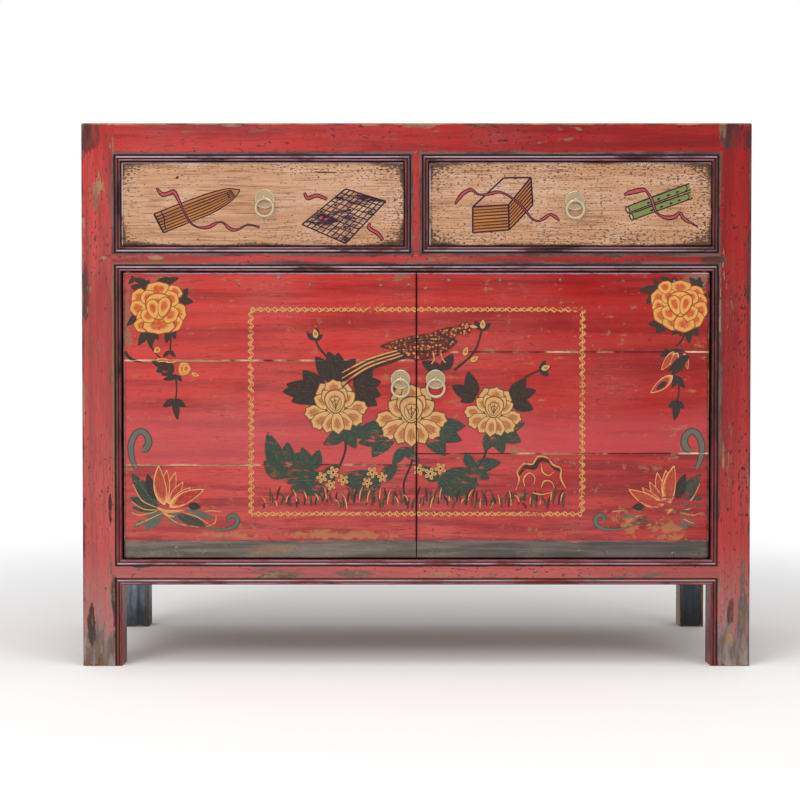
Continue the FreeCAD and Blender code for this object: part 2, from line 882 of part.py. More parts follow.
def pull_eye(x, face_y, back_face_y, z):
    """A split pin: its loop stands in front of the plate, and its two legs are turned out behind."""
    loop_y = face_y - eye_stand_off
    loop_radius = eye_hole_radius + 2 * eye_wire_radius
    loop_place = lambda a, b: point(x - eye_wire_radius, loop_y + a, z + b)
    loop = eased_ring(loop_place, point(2 * eye_wire_radius, 0, 0), loop_radius, eye_hole_radius, eye_sides)
    shank_start = loop_y + eye_hole_radius + eye_wire_radius
    legs_y = back_face_y + eye_leg_radius
    shank = Part.makeCylinder(
        eye_shank_radius, legs_y - shank_start, point(x, shank_start, z), point(0, 1, 0)
    )
    leg_place = lambda a, b: point(x - eye_leg_length, legs_y + a, z + b)
    legs = equal_sided(leg_place, eye_leg_radius, peg_sides).extrude(point(2 * eye_leg_length, 0, 0))
    return joined(shank, [loop, legs])


def pull_ring(x, face_y, z):
    """A ring that hangs in the eye."""
    hang = eye_hole_radius - ring_wire_radius - ring_seat_clearance
    centre_z = z - hang - ring_outer_radius + ring_wire_radius
    place = lambda a, b: point(x + a, face_y - eye_stand_off - ring_wire_radius, centre_z + b)
    inner_radius = ring_outer_radius - 2 * ring_wire_radius
    return eased_ring(place, point(0, 2 * ring_wire_radius, 0), ring_outer_radius, inner_radius, ring_sides)


def pull_hole(x, face_y, back_face_y, z):
    """The hole for a pull's split pin."""
    return Part.makeCylinder(
        eye_shank_radius, back_face_y - face_y + 2 * overrun, point(x, face_y - overrun, z), point(0, 1, 0)
    )


def add_pull(parts, name, x, face_y, back_face_y, z):
    """A pull's plate, eye and ring, with the hole drilled in the pieces that it goes through."""
    parts[name + "_pull_plate"] = [pull_plate(x, face_y, z)]
    hole = pull_hole(x, face_y, back_face_y, z)
    for piece in [key for key in parts if key.startswith(name)]:
        parts[piece] = [shape.cut(hole) for shape in parts[piece]]
    parts[name + "_pull_eye"] = [pull_eye(x, face_y, back_face_y, z)]
    parts[name + "_pull_ring"] = [pull_ring(x, face_y, z)]


def frame_parts():
    """Posts, rails and divider."""
    envelope = head_envelope()
    pegs = joint_pegs()
    divider_joints = divider_tongues() + divider_tenons()
    grooves = panel_grooves()
    grooves += [mirrored(groove) for groove in panel_grooves()[: len(panel_levels)]]
    grooves += flat_board_grooves()
    parts = {}
    post = front_post().common(envelope)
    parts["front_post_left"] = [post]
    parts["front_post_right"] = [mirrored(post)]
    back_post = rear_post().common(envelope)
    parts["rear_post_left"] = [back_post]
    parts["rear_post_right"] = [mirrored(back_post)]
    for name, (low, high) in zip(("bottom", "middle", "top"), rail_levels):
        rail = cut_all(front_rail(low, high), divider_joints + pegs + grooves + pivot_sockets())
        parts[f"front_{name}_rail"] = [rail.common(envelope)]
        rail = cut_all(rear_rail(low, high), pegs + grooves)
        parts[f"rear_{name}_rail"] = [rail.common(envelope)]
    parts["drawer_divider"] = [drawer_divider()]
    rails = [cut_all(rail, grooves).common(envelope) for rail in side_rails()]
    parts["side_rails_left"] = rails
    parts["side_rails_right"] = [mirrored(rail) for rail in rails]
    parts["joint_pegs"] = pegs
    return parts


def filling_parts():
    """Panels, boards, shelf, battens and what carries the drawers."""
    parts = {}
    parts["side_panels_left"] = side_panels()
    parts["side_panels_right"] = [mirrored(panel) for panel in side_panels()]
    parts["back_boards"] = back_boards()
    floor_top = bottom_rail_top - floor_drop
    parts["top_boards"] = flat_boards(height, top_board_thickness)
    parts["top_battens"] = battens(height - top_board_thickness)
    parts["floor_boards"] = flat_boards(floor_top, floor_board_thickness)
    parts["floor_bearers"] = battens(floor_top - floor_board_thickness)
    parts["shelf_boards"] = shelf_boards()
    parts["shelf_bearers"] = shelf_bearers()
    parts["drawer_runners"] = drawer_runners()
    parts["drawer_guides"] = drawer_guides()
    parts["drawer_kickers"] = drawer_kickers()
    parts["door_stops"] = door_stops()
    return parts


def drawer_parts(name, side, pull_shift, pull_rise):
    """One drawer with its pull."""
    parts = {f"{name}_{piece}": shapes for piece, shapes in drawer_pieces(side).items()}
    face_y = front_y + drawer_recess
    x = side * (opening_half + divider_width / 2) / 2 + pull_shift
    z = (middle_rail_top + top_rail_bottom) / 2 + pull_rise
    add_pull(parts, name, x, face_y, face_y + drawer_front_thickness, z)
    return parts


def door_parts(name, side, seams, pull_inset):
    """One door with its pull; the right door is the left one mirrored."""
    turn = mirrored if side > 0 else lambda shape: shape
    parts = {f"{name}_hinge_stile": [turn(hinge_stile())]}
    names = ("foot_board", "lower_board", "middle_board", "upper_board")
    for piece, board in zip(names, door_boards(seams)):
        parts[f"{name}_{piece}"] = [turn(board)]
    parts[f"{name}_battens"] = [turn(batten) for batten in door_battens()]
    back = door_back_y + ledge_thickness
    add_pull(parts, name, side * pull_inset, door_front_y, back, door_pull_height)
    return parts


def cabinet():
    """Every node's name, with its solids."""
    parts = frame_parts()
    parts.update(filling_parts())
    parts.update(drawer_parts("left_drawer", -1, left_drawer_pull_shift, left_drawer_pull_rise))
    parts.update(drawer_parts("right_drawer", 1, right_drawer_pull_shift, right_drawer_pull_rise))
    parts.update(door_parts("left_door", -1, door_seams(left_door_seam_shares), left_door_pull_inset))
    parts.update(door_parts("right_door", 1, door_seams(right_door_seam_shares), right_door_pull_inset))
    return parts


def write(parts):
    """Writes each node as one STEP file."""
    os.makedirs("parts", exist_ok=True)
    for name, shapes in parts.items():
        solids = [solid for shape in shapes for solid in shape.Solids]
        node = solids[0] if len(solids) == 1 else Part.makeCompound(solids)
        node.exportStep(f"parts/{name}.step")
        print(name, len(solids), round(node.Volume))


write(cabinet())
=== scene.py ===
"""Painted sideboard cabinet: worn lacquer and paint, nails, painted ornament, stage and camera.

Metres, +Z up, front towards -Y, as the frame gives them. Ornament is laid out in millimetres on the
front: x to the right from the middle of the cabinet and z up from the floor.
"""

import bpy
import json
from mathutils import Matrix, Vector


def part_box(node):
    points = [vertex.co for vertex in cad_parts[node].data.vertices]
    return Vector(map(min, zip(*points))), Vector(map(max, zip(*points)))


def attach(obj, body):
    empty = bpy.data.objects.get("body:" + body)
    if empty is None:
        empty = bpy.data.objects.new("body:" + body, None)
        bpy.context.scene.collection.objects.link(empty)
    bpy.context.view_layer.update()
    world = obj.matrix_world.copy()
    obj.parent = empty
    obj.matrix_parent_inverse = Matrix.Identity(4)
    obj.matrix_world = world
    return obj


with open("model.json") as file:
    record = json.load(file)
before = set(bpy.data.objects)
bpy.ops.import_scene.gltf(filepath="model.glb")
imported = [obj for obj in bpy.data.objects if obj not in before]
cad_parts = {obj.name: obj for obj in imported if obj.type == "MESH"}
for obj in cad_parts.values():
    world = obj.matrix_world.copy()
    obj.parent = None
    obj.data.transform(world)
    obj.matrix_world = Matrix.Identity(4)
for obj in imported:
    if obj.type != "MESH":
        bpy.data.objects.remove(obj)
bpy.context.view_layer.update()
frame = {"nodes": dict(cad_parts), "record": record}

import json
import math
import random

import bmesh
import bpy
from mathutils import Vector

bl_info = {
    "name": "Painted Cabinet",
    "version": (1, 0, 0),
    "blender": (4, 5, 0),
    "location": "3D View > Sidebar > Cabinet",
    "description": "Lacquer, wear, nails and painted ornament for a sideboard cabinet",
    "category": "Object",
}

MM = 0.001

# Half the gap between the doors, and half the bare width of a seam in the paint
DOOR_GAP_HALF = 1.1 * MM
SEAM_HALF = 0.35 * MM

# The border round the middle picture: its sides, the length of its waves and how far they swing
BORDER_LEFT, BORDER_RIGHT = -262, 263
BORDER_LOW, BORDER_TOP = 242, 566
BORDER_WAVE = 11.6
BORDER_SWING = 2.3

# Corners that a mesh of paint may have before the next one is begun, and how deep paint sits in its ground
SHEET_VERTS = 1200
PAINT_SINK = 0.15 * MM

# Cells along each side of a four-cornered patch of paint
PATCH_CELLS = 6

# How much light the lacquered frame and the painted pieces throw back
FRAME_SHINE = {"Specular IOR Level": 0.18}
PAINT_SHINE = {"Specular IOR Level": 0.14}

# How far a full height stands out in each kind of surface
FRAME_RELIEF = 0.35 * MM
COAT_RELIEF = 0.3 * MM
PAINT_RELIEF = 0.25 * MM

# Bare wood: the way of its grain, the way across its boards, their width and the tone of its stains
BACK_WOOD = ("z", "x", 165 * MM, 0x5C4230)
CROSSWISE_WOOD = ("y", "x", 400 * MM, 0x735038)
BOARD_WOOD = ("x", "y", 115 * MM, 0x6E4C34)
RAIL_WOOD = ("x", "z", 90 * MM, 0x6E4C34)

# Each lamp's name, place, size and share of the main lamp's power
LAMPS = (
    ("lamp_left", (-1.7, -2.6, 2.5), 1.6, 1),
    ("lamp_right", (2.2, -2.3, 1.7), 1.4, 0.35),
    ("lamp_top", (0, -0.6, 2.6), 1.5, 0.6),
)

# Half the floor's width, and where round the cabinet its shadow fades out to white
FLOOR_HALF = 14
FADE_START, FADE_END = 0.9, 1.9


def tint(code):
    """The linear colour of a six-digit hex number, as shaders want it."""
    shares = [(code >> shift & 255) / 255 for shift in (16, 8, 0)]
    return tuple(share / 12.92 if share <= 0.04045 else ((share + 0.055) / 1.055) ** 2.4 for share in shares)


def node_box(name):
    """A CAD node's lowest and highest corners, as plain numbers."""
    low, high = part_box(name)
    return tuple(low), tuple(high)


def node_slots():
    return {part["node"]: part["material_slot"] for part in frame["record"]["subparts"]}


# Places that everything else is measured from
(_, frame_front, _), (_, _, frame_top) = node_box("front_post_left")
(_, door_face, door_foot), (_, _, foot_board_top) = node_box("left_door_foot_board")
(_, drawer_face, _), _ = node_box("left_drawer_front")
(_, _, rail_bottom), (_, _, rail_top) = node_box("front_bottom_rail")
(_, _, middle_bottom), (_, _, middle_top) = node_box("front_middle_rail")
(_, _, head_bottom), _ = node_box("front_top_rail")
divider_half = node_box("drawer_divider")[1][0]
opening_half = -node_box("front_post_left")[1][0]
bead_band = 10.6 * MM


def colour_setting(name, description, code):
    colour = tint(code)
    return bpy.props.FloatVectorProperty(name=name, description=description, subtype="COLOR", default=colour)


def length_setting(name, description, length):
    return bpy.props.FloatProperty(name=name, description=description, default=length, unit="LENGTH")


class CabinetFinishSettings(bpy.types.PropertyGroup):
    """Colours of the lacquer, the paints, the wood and the brass."""

    lacquer_deep: colour_setting("Deep Lacquer", "Red of the best kept lacquer", 0x9A1614)
    lacquer_bright: colour_setting("Bright Lacquer", "Red of the brush streaks", 0xC62420)
    # This paler red also serves as painted light on the left and lower parts of the lacquer
    lacquer_faded_and_lit: colour_setting("Faded Lacquer", "Red where light has bleached it", 0xCA706A)
    grime: colour_setting("Grime", "Old varnish and dirt", 0x2A1917)
    bead_plum: colour_setting("Bead", "Darkened lacquer of the beads", 0x54282C)
    worn_wood: colour_setting("Worn Wood", "Wood and ground where the lacquer is gone", 0xA8825E)
    drawer_cream: colour_setting("Drawer Paint", "Cream paint of the drawer fronts", 0xCA9E7E)
    foot_grey: colour_setting("Foot Board", "Grey-green paint of the foot boards", 0x7A7066)
    leg_blue: colour_setting("Rear Legs", "Slate blue paint of the rear legs", 0xA2B2BC)
    inner_wood: colour_setting("Inner Wood", "Aged bare wood of the inside", 0x9A7350)
    brass: colour_setting("Brass", "Tarnished brass of the pulls", 0xCCC0A4)


class CabinetOrnamentSettings(bpy.types.PropertyGroup):
    """Sizes and colours of the painted ornament and the nails."""

    paint_depth: length_setting("Paint Depth", "How far the first coat stands out", 0.05 * MM)
    coat_step: length_setting("Coat Step", "How much each later coat adds", 0.002 * MM)
    nail_radius: length_setting("Nail Head", "Radius of a nail head", 3.2 * MM)
    petal_rim: colour_setting("Petal Rim", "Pale gold at the edge of petals", 0xDA9E54)
    petal_heart: colour_setting("Petal Heart", "Orange red inside petals", 0xC65A2C)
    petal_red: colour_setting("Lotus Heart", "Red inside the lotus petals", 0xA62E34)
    petal_cream: colour_setting("Cream Petals", "Cream of the middle flowers", 0xCFA26A)
    petal_tan: colour_setting("Cream Hearts", "Tan inside the cream petals", 0xAC7448)
    leaf_ink: colour_setting("Dark Leaves", "Charcoal of the leaves", 0x382F2A)
    leaf_green: colour_setting("Green Leaves", "Green of the lower leaves", 0x39433A)
    scroll_grey: colour_setting("Scrolls", "Grey green of the scrolls", 0x60655A)
    ribbon_red: colour_setting("Ribbons", "Pink red of the ribbons", 0xAE4646)
    board_ochre: colour_setting("Ochre", "Ochre of the painted zither and books", 0xB87838)
    ink: colour_setting("Ink", "Purple black of the drawn lines", 0x2C1A2C)
    scroll_lime: colour_setting("Rolled Pictures", "Yellow green of the rolled pictures", 0x7C8448)
    line_gold: colour_setting("Gold Lines", "Gold of borders and fine lines", 0xCE8C56)


class CabinetStageSettings(bpy.types.PropertyGroup):
    """The camera and the lamps."""

    camera_distance: length_setting("Distance", "From the camera to the front", 2.327)
    camera_side: length_setting("Side", "Camera to the right of the middle", -0.026)
    camera_height: length_setting("Height", "Camera above the floor", 0.469)
    camera_drop: bpy.props.FloatProperty(
        name="Drop", description="How far the camera looks down", default=math.radians(1.135), subtype="ANGLE"
    )
    camera_lens: bpy.props.FloatProperty(
        name="Lens", description="Focal length on a 36 mm sensor", default=66.15, unit="CAMERA"
    )
    lamp_power: bpy.props.FloatProperty(
        name="Lamp Power", description="Power of the main lamp, in watts", default=34.0, unit="POWER"
    )
    world_level: bpy.props.FloatProperty(
        name="World Level", description="Strength of the even light all round", default=0.62, subtype="FACTOR"
    )


def feed(socket, value):
    """Links a field to a socket, or sets the socket to a plain value or to the colour of a hex number."""
    if isinstance(value, Field):
        value.tree.links.new(value.socket, socket)
    elif socket.type == "RGBA":
        colour = tint(value) if isinstance(value, int) else value
        socket.default_value = (*colour[:3], 1)
    else:
        socket.default_value = value


class Field:
    """A number or colour that a shader works out at each point; sums and products of fields are fields."""

    def __init__(self, tree, socket):
        self.tree = tree
        self.socket = socket

    def maths(self, operation, *others):
        node = self.tree.nodes.new("ShaderNodeMath")
        node.operation = operation
        for socket, value in zip(node.inputs, (self, *others)):
            feed(socket, value)
        return Field(self.tree, node.outputs[0])

    def __add__(self, other):
        return self.maths("ADD", other)

    def __sub__(self, other):
        return self.maths("SUBTRACT", other)

    def __rsub__(self, other):
        return self.maths("MULTIPLY_ADD", -1, other)

    def __mul__(self, other):
        return self.maths("MULTIPLY", other)

    __radd__ = __add__

    def absolute(self):
        return self.maths("ABSOLUTE")

    def least(self, other):
        return self.maths("MINIMUM", other)

    def greatest(self, other):
        return self.maths("MAXIMUM", other)

    def sine(self):
        return self.maths("SINE")

    def root(self):
        return self.maths("SQRT")

    def rise(self, low, high):
        """Goes smoothly from 0 at low to 1 at high; with low above high it falls instead."""
        node = self.tree.nodes.new("ShaderNodeMapRange")
        node.interpolation_type = "SMOOTHSTEP"
        for socket, value in zip(node.inputs, (self, low, high)):
            feed(socket, value)
        return Field(self.tree, node.outputs[0])


class Finish:
    """A material in the making: its nodes, its shader and the point that it shades."""

    def __init__(self, name, constants=None):
        self.material = bpy.data.materials.new(name)
        self.material.use_nodes = True
        self.tree = self.material.node_tree
        self.shader = self.tree.nodes["Principled BSDF"]
        for socket, value in (constants or {}).items():
            feed(self.shader.inputs[socket], value)
        self.point = self.field(self.add("TexCoord"), "Object")
        parts = self.add("SeparateXYZ", {0: self.point})
        self.x, self.y, self.z = [self.field(parts, output) for output in "XYZ"]

    def add(self, kind, feeds=None, **settings):
        node = self.tree.nodes.new("ShaderNode" + kind)
        for name, value in settings.items():
            setattr(node, name, value)
        for socket, value in (feeds or {}).items():
            feed(node.inputs[socket], value)
        return node

    def field(self, node, output=0):
        return Field(self.tree, node.outputs[output])

    def place(self, *parts):
        return self.field(self.add("CombineXYZ", dict(enumerate(parts))))

    def stretched(self, place, *by):
        return self.field(self.add("VectorMath", {0: place, 1: by}, operation="MULTIPLY"))

    def noise(self, place, scale, detail=3.0, roughness=0.55, distortion=0.0):
        feeds = {"Vector": place, "Scale": scale, "Detail": detail}
        feeds.update({"Roughness": roughness, "Distortion": distortion})
        return self.field(self.add("TexNoise", feeds))

    def drawn(self, by, detail, roughness=0.55, distortion=0.0, place=None):
        """Noise whose scale is given for each way, so that it runs in streaks."""
        return self.noise(self.stretched(place or self.point, *by), 1, detail, roughness, distortion)

    def cells(self, place, scale):
        return self.field(self.add("TexVoronoi", {"Vector": place, "Scale": scale}))

    def blend(self, amount, first, second):
        return self.field(self.add("Mix", {0: amount, 6: first, 7: second}, data_type="RGBA"), 2)

    def layered(self, colour, *layers):
        """Lays tints over a colour in turn; each layer is how much of it covers, and its tint."""
        for amount, over in layers:
            colour = self.blend(amount, colour, over)
        return colour

    def grained(self, along):
        """The point with the grain's way first, so that patterns can run along the wood."""
        order = {"x": (self.x, self.z, self.y), "y": (self.y, self.x, self.z), "z": (self.z, self.x, self.y)}
        return self.place(*order[along])

    def done(self, colour, roughness, height, relief):
        """Connects the shader; relief is how far a height of 1 stands out."""
        feed(self.shader.inputs["Base Color"], colour)
        feed(self.shader.inputs["Roughness"], roughness)
        bump = self.add("Bump", {"Height": height, "Distance": relief, "Strength": 1.0})
        feed(self.shader.inputs["Normal"], self.field(bump))
        return self.material


def finish_settings():
    return bpy.context.scene.cabinet_finish


def ornament_settings():
    return bpy.context.scene.cabinet_ornament


def edge_distance(finish, box):
    """How far a point on a block's surface is from the block's nearest edge."""
    low, high = box
    near = []
    for place, start, end in zip((finish.x, finish.y, finish.z), low, high):
        near.append((place - start).least(end - place))
    x, y, z = near
    return x.least(y).greatest(x.greatest(y).least(z))


def spot(finish, x, z, across, up):
    """1 in the middle of an oval spot on the front, and 0 at its rim; the sizes are half widths."""
    aside = (finish.x - x * MM) * (1 / (across * MM))
    above = (finish.z - z * MM) * (1 / (up * MM))
    return 1 - (aside * aside + above * above).root()


def spots(finish, places):
    """The strongest of several spots, never below 0."""
    total = spot(finish, *places[0])
    for place in places[1:]:
        total = total.greatest(spot(finish, *place))
    return total.greatest(0)


def lacquer_ground(finish, along, banding, stained):
    """Brushed red lacquer, with painted light and shade (paler towards the left and the bottom, darker
    towards the right and the top): colour, roughness and height; banding and stained say how strong each mark
    is.
    """
    colours = finish_settings()
    grain = finish.grained(along)
    bands = finish.drawn((2.6, 40, 40), 5, 0.65, 0.3, place=grain)
    hairs = finish.drawn((11, 420, 420), 4, 0.65, place=grain)
    clouds = finish.noise(finish.point, 6.5, 5, 0.65)
    specks = finish.drawn((110, 230, 230), 3, 0.55, place=grain)
    # Fading of the lacquer, together with painted light: paler towards the left and towards the floor
    fade_and_painted_light = (0.53 - finish.x) * 0.17 + (0.76 - finish.z) * 0.6
    fade_and_painted_light = fade_and_painted_light + (clouds - 0.5) * 0.7 + (bands - 0.5) * 0.4 + (hairs - 0.5) * 0.5
    # Painted shade: darker towards the right and the top
    painted_shade = (finish.x * 0.8 + finish.z * 0.55).rise(0.05, 0.85)
    shade = bands.rise(0.47, 0.3) * clouds.rise(0.42, 0.6)
    scuff = (specks * 0.5 + hairs * 0.5 + (clouds - 0.5) * 0.3).rise(0.6, 0.68)
    stain = (specks + clouds * 0.3 + (bands - 0.5) * 0.2 + stained * 0.05).rise(0.82, 0.87)
    dashes = finish.drawn((45, 500, 500), 2, 0.5, place=grain)
    colour = finish.layered(
        colours.lacquer_deep,
        (bands.rise(0.38, 0.6), colours.lacquer_bright),
        (fade_and_painted_light.greatest(0).least(0.9), colours.lacquer_faded_and_lit),
        (painted_shade * 0.55, 0x6C0609),
        (shade * banding, 0x5A1A1E),
        (hairs.rise(0.5, 0.7) * (0.25 + banding * 0.4), 0x4A1C1C),
        (scuff * 0.35, 0xC08A88),
        (stain * (0.5 + stained * 0.35), colours.grime),
        ((dashes + (clouds - 0.5) * 0.2).rise(0.6, 0.68) * 0.4, 0x6A2A2A),
    )
    roughness = 0.38 + stain * 0.2 + hairs * 0.14 + bands * 0.06
    height = hairs * 0.45 + bands * 0.25 - stain * 0.5
    return colour, roughness, height


def opening_depth(finish):
    """How far outside the nearest front opening a point lies, mitred at the corners."""
    middle = (opening_half + divider_half) / 2
    half = (opening_half - divider_half) / 2
    openings = (
        (-middle, half, middle_top, head_bottom),
        (middle, half, middle_top, head_bottom),
        (0, opening_half, rail_top, middle_bottom),
        (0, opening_half, -1, rail_bottom),
    )
    nearest = None
    for centre, half_width, low, high in openings:
        aside = (finish.x - centre).absolute() - half_width
        above = (finish.z - (low + high) / 2).absolute() - (high - low) / 2
        depth = aside.greatest(above)
        nearest = depth if nearest is None else nearest.least(depth)
    return nearest


# Bare patches of the frame: place on the front, half width and half height, all in millimetres
BARE_PATCHES = (
    (-499, 762, 13, 36), (-494, 648, 13, 7), (-412, 648, 19, 5), (-292, 856, 22, 4), (-76, 857, 36, 4),
    (38, 148, 46, 5), (191, 147, 20, 4), (-521, 33, 5, 5), (-500, 27, 3, 9), (-472, 9, 4, 13),
    (-526, 700, 3, 30), (480, 560, 3, 80), (525, 300, 3, 60), (-527, 420, 3, 70), (498, 44, 9, 20),
    (486, 330, 3, 40),
)
# Dark patches of the frame, brown smears and bare tops on the doors: laid out the same way
DARK_PATCHES = (
    (-514, 838, 28, 36), (508, 838, 38, 36), (-524, 590, 7, 60), (470, 644, 26, 9), (300, 655, 60, 8),
    (-60, 657, 90, 7), (-478, 96, 7, 60), (-516, 70, 9, 44), (500, 90, 9, 34), (526, 640, 7, 90),
    (0, 160, 400, 3), (-486, 250, 5, 40), (-434, 160, 26, 4), (476, 250, 9, 30),
)
DOOR_SMEARS = ((-300, 207, 90, 9), (-130, 208, 130, 10), (400, 214, 50, 26), (340, 225, 30, 30))
DOOR_BARE_TOPS = ((-20, 618, 24, 9), (-400, 616, 40, 7), (440, 612, 40, 18), (-458, 540, 9, 100))


# Lines along the beads: how far outside an opening each lies, half its width, and half its full middle
BEAD_LINE = (2.2 * MM, 1.6 * MM, 0.3 * MM)
BEAD_GROOVE = (4.3 * MM, 1.2 * MM, 0.2 * MM)
BEAD_CREST = (6.6 * MM, 1.7 * MM, 0.3 * MM)
BEAD_QUIRK = (9.8 * MM, 1.5 * MM, 0.3 * MM)


def line_along(depth, line):
    """1 along the middle of a line that runs round the openings, and 0 beside it."""
    place, half_width, half_middle = line
    return (depth - place).absolute().rise(half_width, half_middle)


def bead_colours(finish, depth, broken, ragged, upright):
    """Darkened lacquer of the beads, with lines painted along them: pale painted highlights along the rails'
    beads, greyish and red lines along the posts' beads, all weaker towards the right.
    """
    colours = finish_settings()
    low = finish.z.rise(0.5, 0.12)
    outer, inner = (0x6E5654, 0xA4553C) if upright else (0xBCACB8, 0xB07478)
    # Painted highlight: stronger on the rails than on the posts, and weaker towards the right
    strength = (0.55 if upright else 0.9) - finish.x.rise(-0.1, 0.4) * 0.25
    crest_highlight = line_along(depth, BEAD_CREST)
    line = line_along(depth, BEAD_LINE)
    groove = line_along(depth, BEAD_GROOVE)
    return finish.layered(
        colours.bead_plum,
        (low * 0.6, 0x94403E),
        (ragged.rise(0.42, 0.6) * (1 - low * 0.5), colours.grime),
        (crest_highlight * broken.rise(0.36, 0.52) * strength, outer),
        (line * broken.rise(0.4, 0.54) * strength, inner),
        (groove * 0.7, colours.grime),
    )


def beaded_edge(finish, colour, broken, ragged, upright):
    """Adds the beads and the dirt beside them: colour, where the beads are, and where their groove is."""
    depth = opening_depth(finish)
    inside = depth.rise(bead_band + 0.0004, bead_band - 0.0003)
    cove = (depth + (broken - 0.5) * 0.016 - 0.0125).rise(0.0036, 0.0008)
    bare = finish.z.rise(0.66, 0.64) * finish.x.rise(-0.3, -0.4)
    cove_tint = finish.blend(ragged.rise(0.42, 0.58), 0x3E3634, 0x6A5852)
    cove_tint = finish.blend(bare, cove_tint, finish.blend(ragged, 0x5C4638, 0x9E7850))
    quirk = line_along(depth, BEAD_QUIRK)
    colour = finish.layered(
        colour,
        (cove * finish.z.rise(0.18, 0.4) * 0.85, cove_tint),
        (inside, bead_colours(finish, depth, broken, ragged, upright)),
        (quirk * 0.85, finish_settings().grime),
    )
    return colour, inside, quirk


def worn_lacquer(finish, box, along, beaded):
    """Lacquer worn at a member's edges, its corners, its beads and its foot: colour, roughness and height."""
    colours = finish_settings()
    colour, roughness, height = lacquer_ground(finish, along, 0.55, 1.0)
    grain = finish.grained(along)
    ragged = finish.drawn((16, 60, 60), 6, 0.72, place=grain)
    broken = finish.drawn((7, 30, 30), 5, 0.66, place=grain)
    edge = edge_distance(finish, box)
    crumbs = (ragged - 0.5) * 3 + (broken - 0.5) * 2.4
    olive = (edge + (broken - 0.5) * 0.01).rise(0.0034, 0.0012)
    rim = (edge + (0.5 - ragged) * 0.022).rise(0.0034, 0.0004)
    streaked = ((0.175 - finish.z) * 5 + crumbs * 1.1).rise(0.36, 0.62)
    foot = streaked.greatest((finish.z - crumbs * 0.006).rise(0.05, 0.036))
    mottled = ragged.rise(0.34, 0.56) * 0.6 + 0.4
    dirty = (spots(finish, DARK_PATCHES) * 2 + crumbs * 1.1).rise(0.45, 0.75) * mottled
    dark = rim.greatest(dirty)
    colour = finish.layered(
        colour,
        # Painted sheen: a greyish film that is strongest towards the left
        (0.15 - finish.x.rise(-0.4, 0.4) * 0.13, 0x84605E),
        (olive * 0.6, finish.blend(ragged.rise(0.4, 0.6), 0x7C5C46, 0x4A3A34)),
        (finish.z.rise(0.22, 0.06) * 0.42, 0x9A827C),
        (foot * 0.9, finish.blend(broken.rise(0.4, 0.6), 0x988C84, 0x5E5450)),
        (dark * 0.9, finish.blend(broken.rise(0.4, 0.6), colours.grime, 0x4A3832)),
    )
    bald = (edge + (0.5 - broken) * 0.022).rise(0.0016, 0.0004)
    tan = bald.greatest((spots(finish, BARE_PATCHES) * 1.2 + crumbs * 1.2).rise(0.5, 0.62))
    if beaded:
        colour, inside, quirk = beaded_edge(finish, colour, broken, ragged, along == "z")
        tan = tan * (1 - inside)
        roughness = roughness - inside * 0.16
        height = height - quirk * 0.6
    wood = finish.blend(ragged.rise(0.45, 0.75), colours.worn_wood, 0x5E4232)
    colour = finish.blend(tan * 0.85, colour, wood)
    roughness = roughness + tan * 0.2
    height = height - tan * 0.6 - dark * 0.2
    return colour, roughness, height


def bare_side(finish, coat, bare, along, seed):
    """A coat of colour, roughness and height, with aged wood in its place where bare is 1."""
    number = finish.noise(finish.place(seed, seed, seed), 1, 0)
    colour, roughness, height = wood_figure(finish, along, number, RAIL_WOOD[-1])
    coat_colour, coat_roughness, coat_height = coat
    roughness = coat_roughness * (1 - bare) + roughness * bare
    height = coat_height * (1 - bare) + height * bare
    return finish.blend(bare, coat_colour, colour), roughness, height


def hidden_back(finish, face):
    """1 on the inner side of a board with its front at face, and 0 on the front and its edges."""
    return (finish.y - face).rise(0.003, 0.006)


def frame_lacquer(name, box, along, beaded):
    """Lacquer on a member of the frame; the sides are bare wood towards the inside."""
    finish = Finish(name, FRAME_SHINE)
    coat = worn_lacquer(finish, box, along, beaded)
    if name.startswith("side"):
        inner_x = min(abs(box[0][0]), abs(box[1][0]))
        inside = finish.x.absolute().rise(inner_x + 0.002, inner_x + 0.001)
        coat = bare_side(finish, coat, inside, along, box[0][0] * 9 + box[0][2] * 5)
    return finish.done(*coat, FRAME_RELIEF)


def seam_wear(finish, seams, colour, kept):
    """Pale, broken lines where the lacquer has gone along the doors' seams; kept is how much of it stays."""
    colours = finish_settings()
    broken = finish.drawn((9, 9, 60), 5, 0.7)
    presence = finish.drawn((7, 1, 1), 4, 0.7)
    line = None
    for seam in seams:
        near = (finish.z - seam + (broken - 0.5) * 0.003).absolute().rise(0.0019, 0.0007)
        line = near if line is None else line.greatest(near)
    pale = finish.blend(broken.rise(0.42, 0.6), 0xE6C6A2, colours.worn_wood)
    amount = line * presence.rise(kept, kept + 0.1)
    return finish.blend(amount * 0.9, finish.blend(line * 0.6, colour, colours.grime), pale), amount


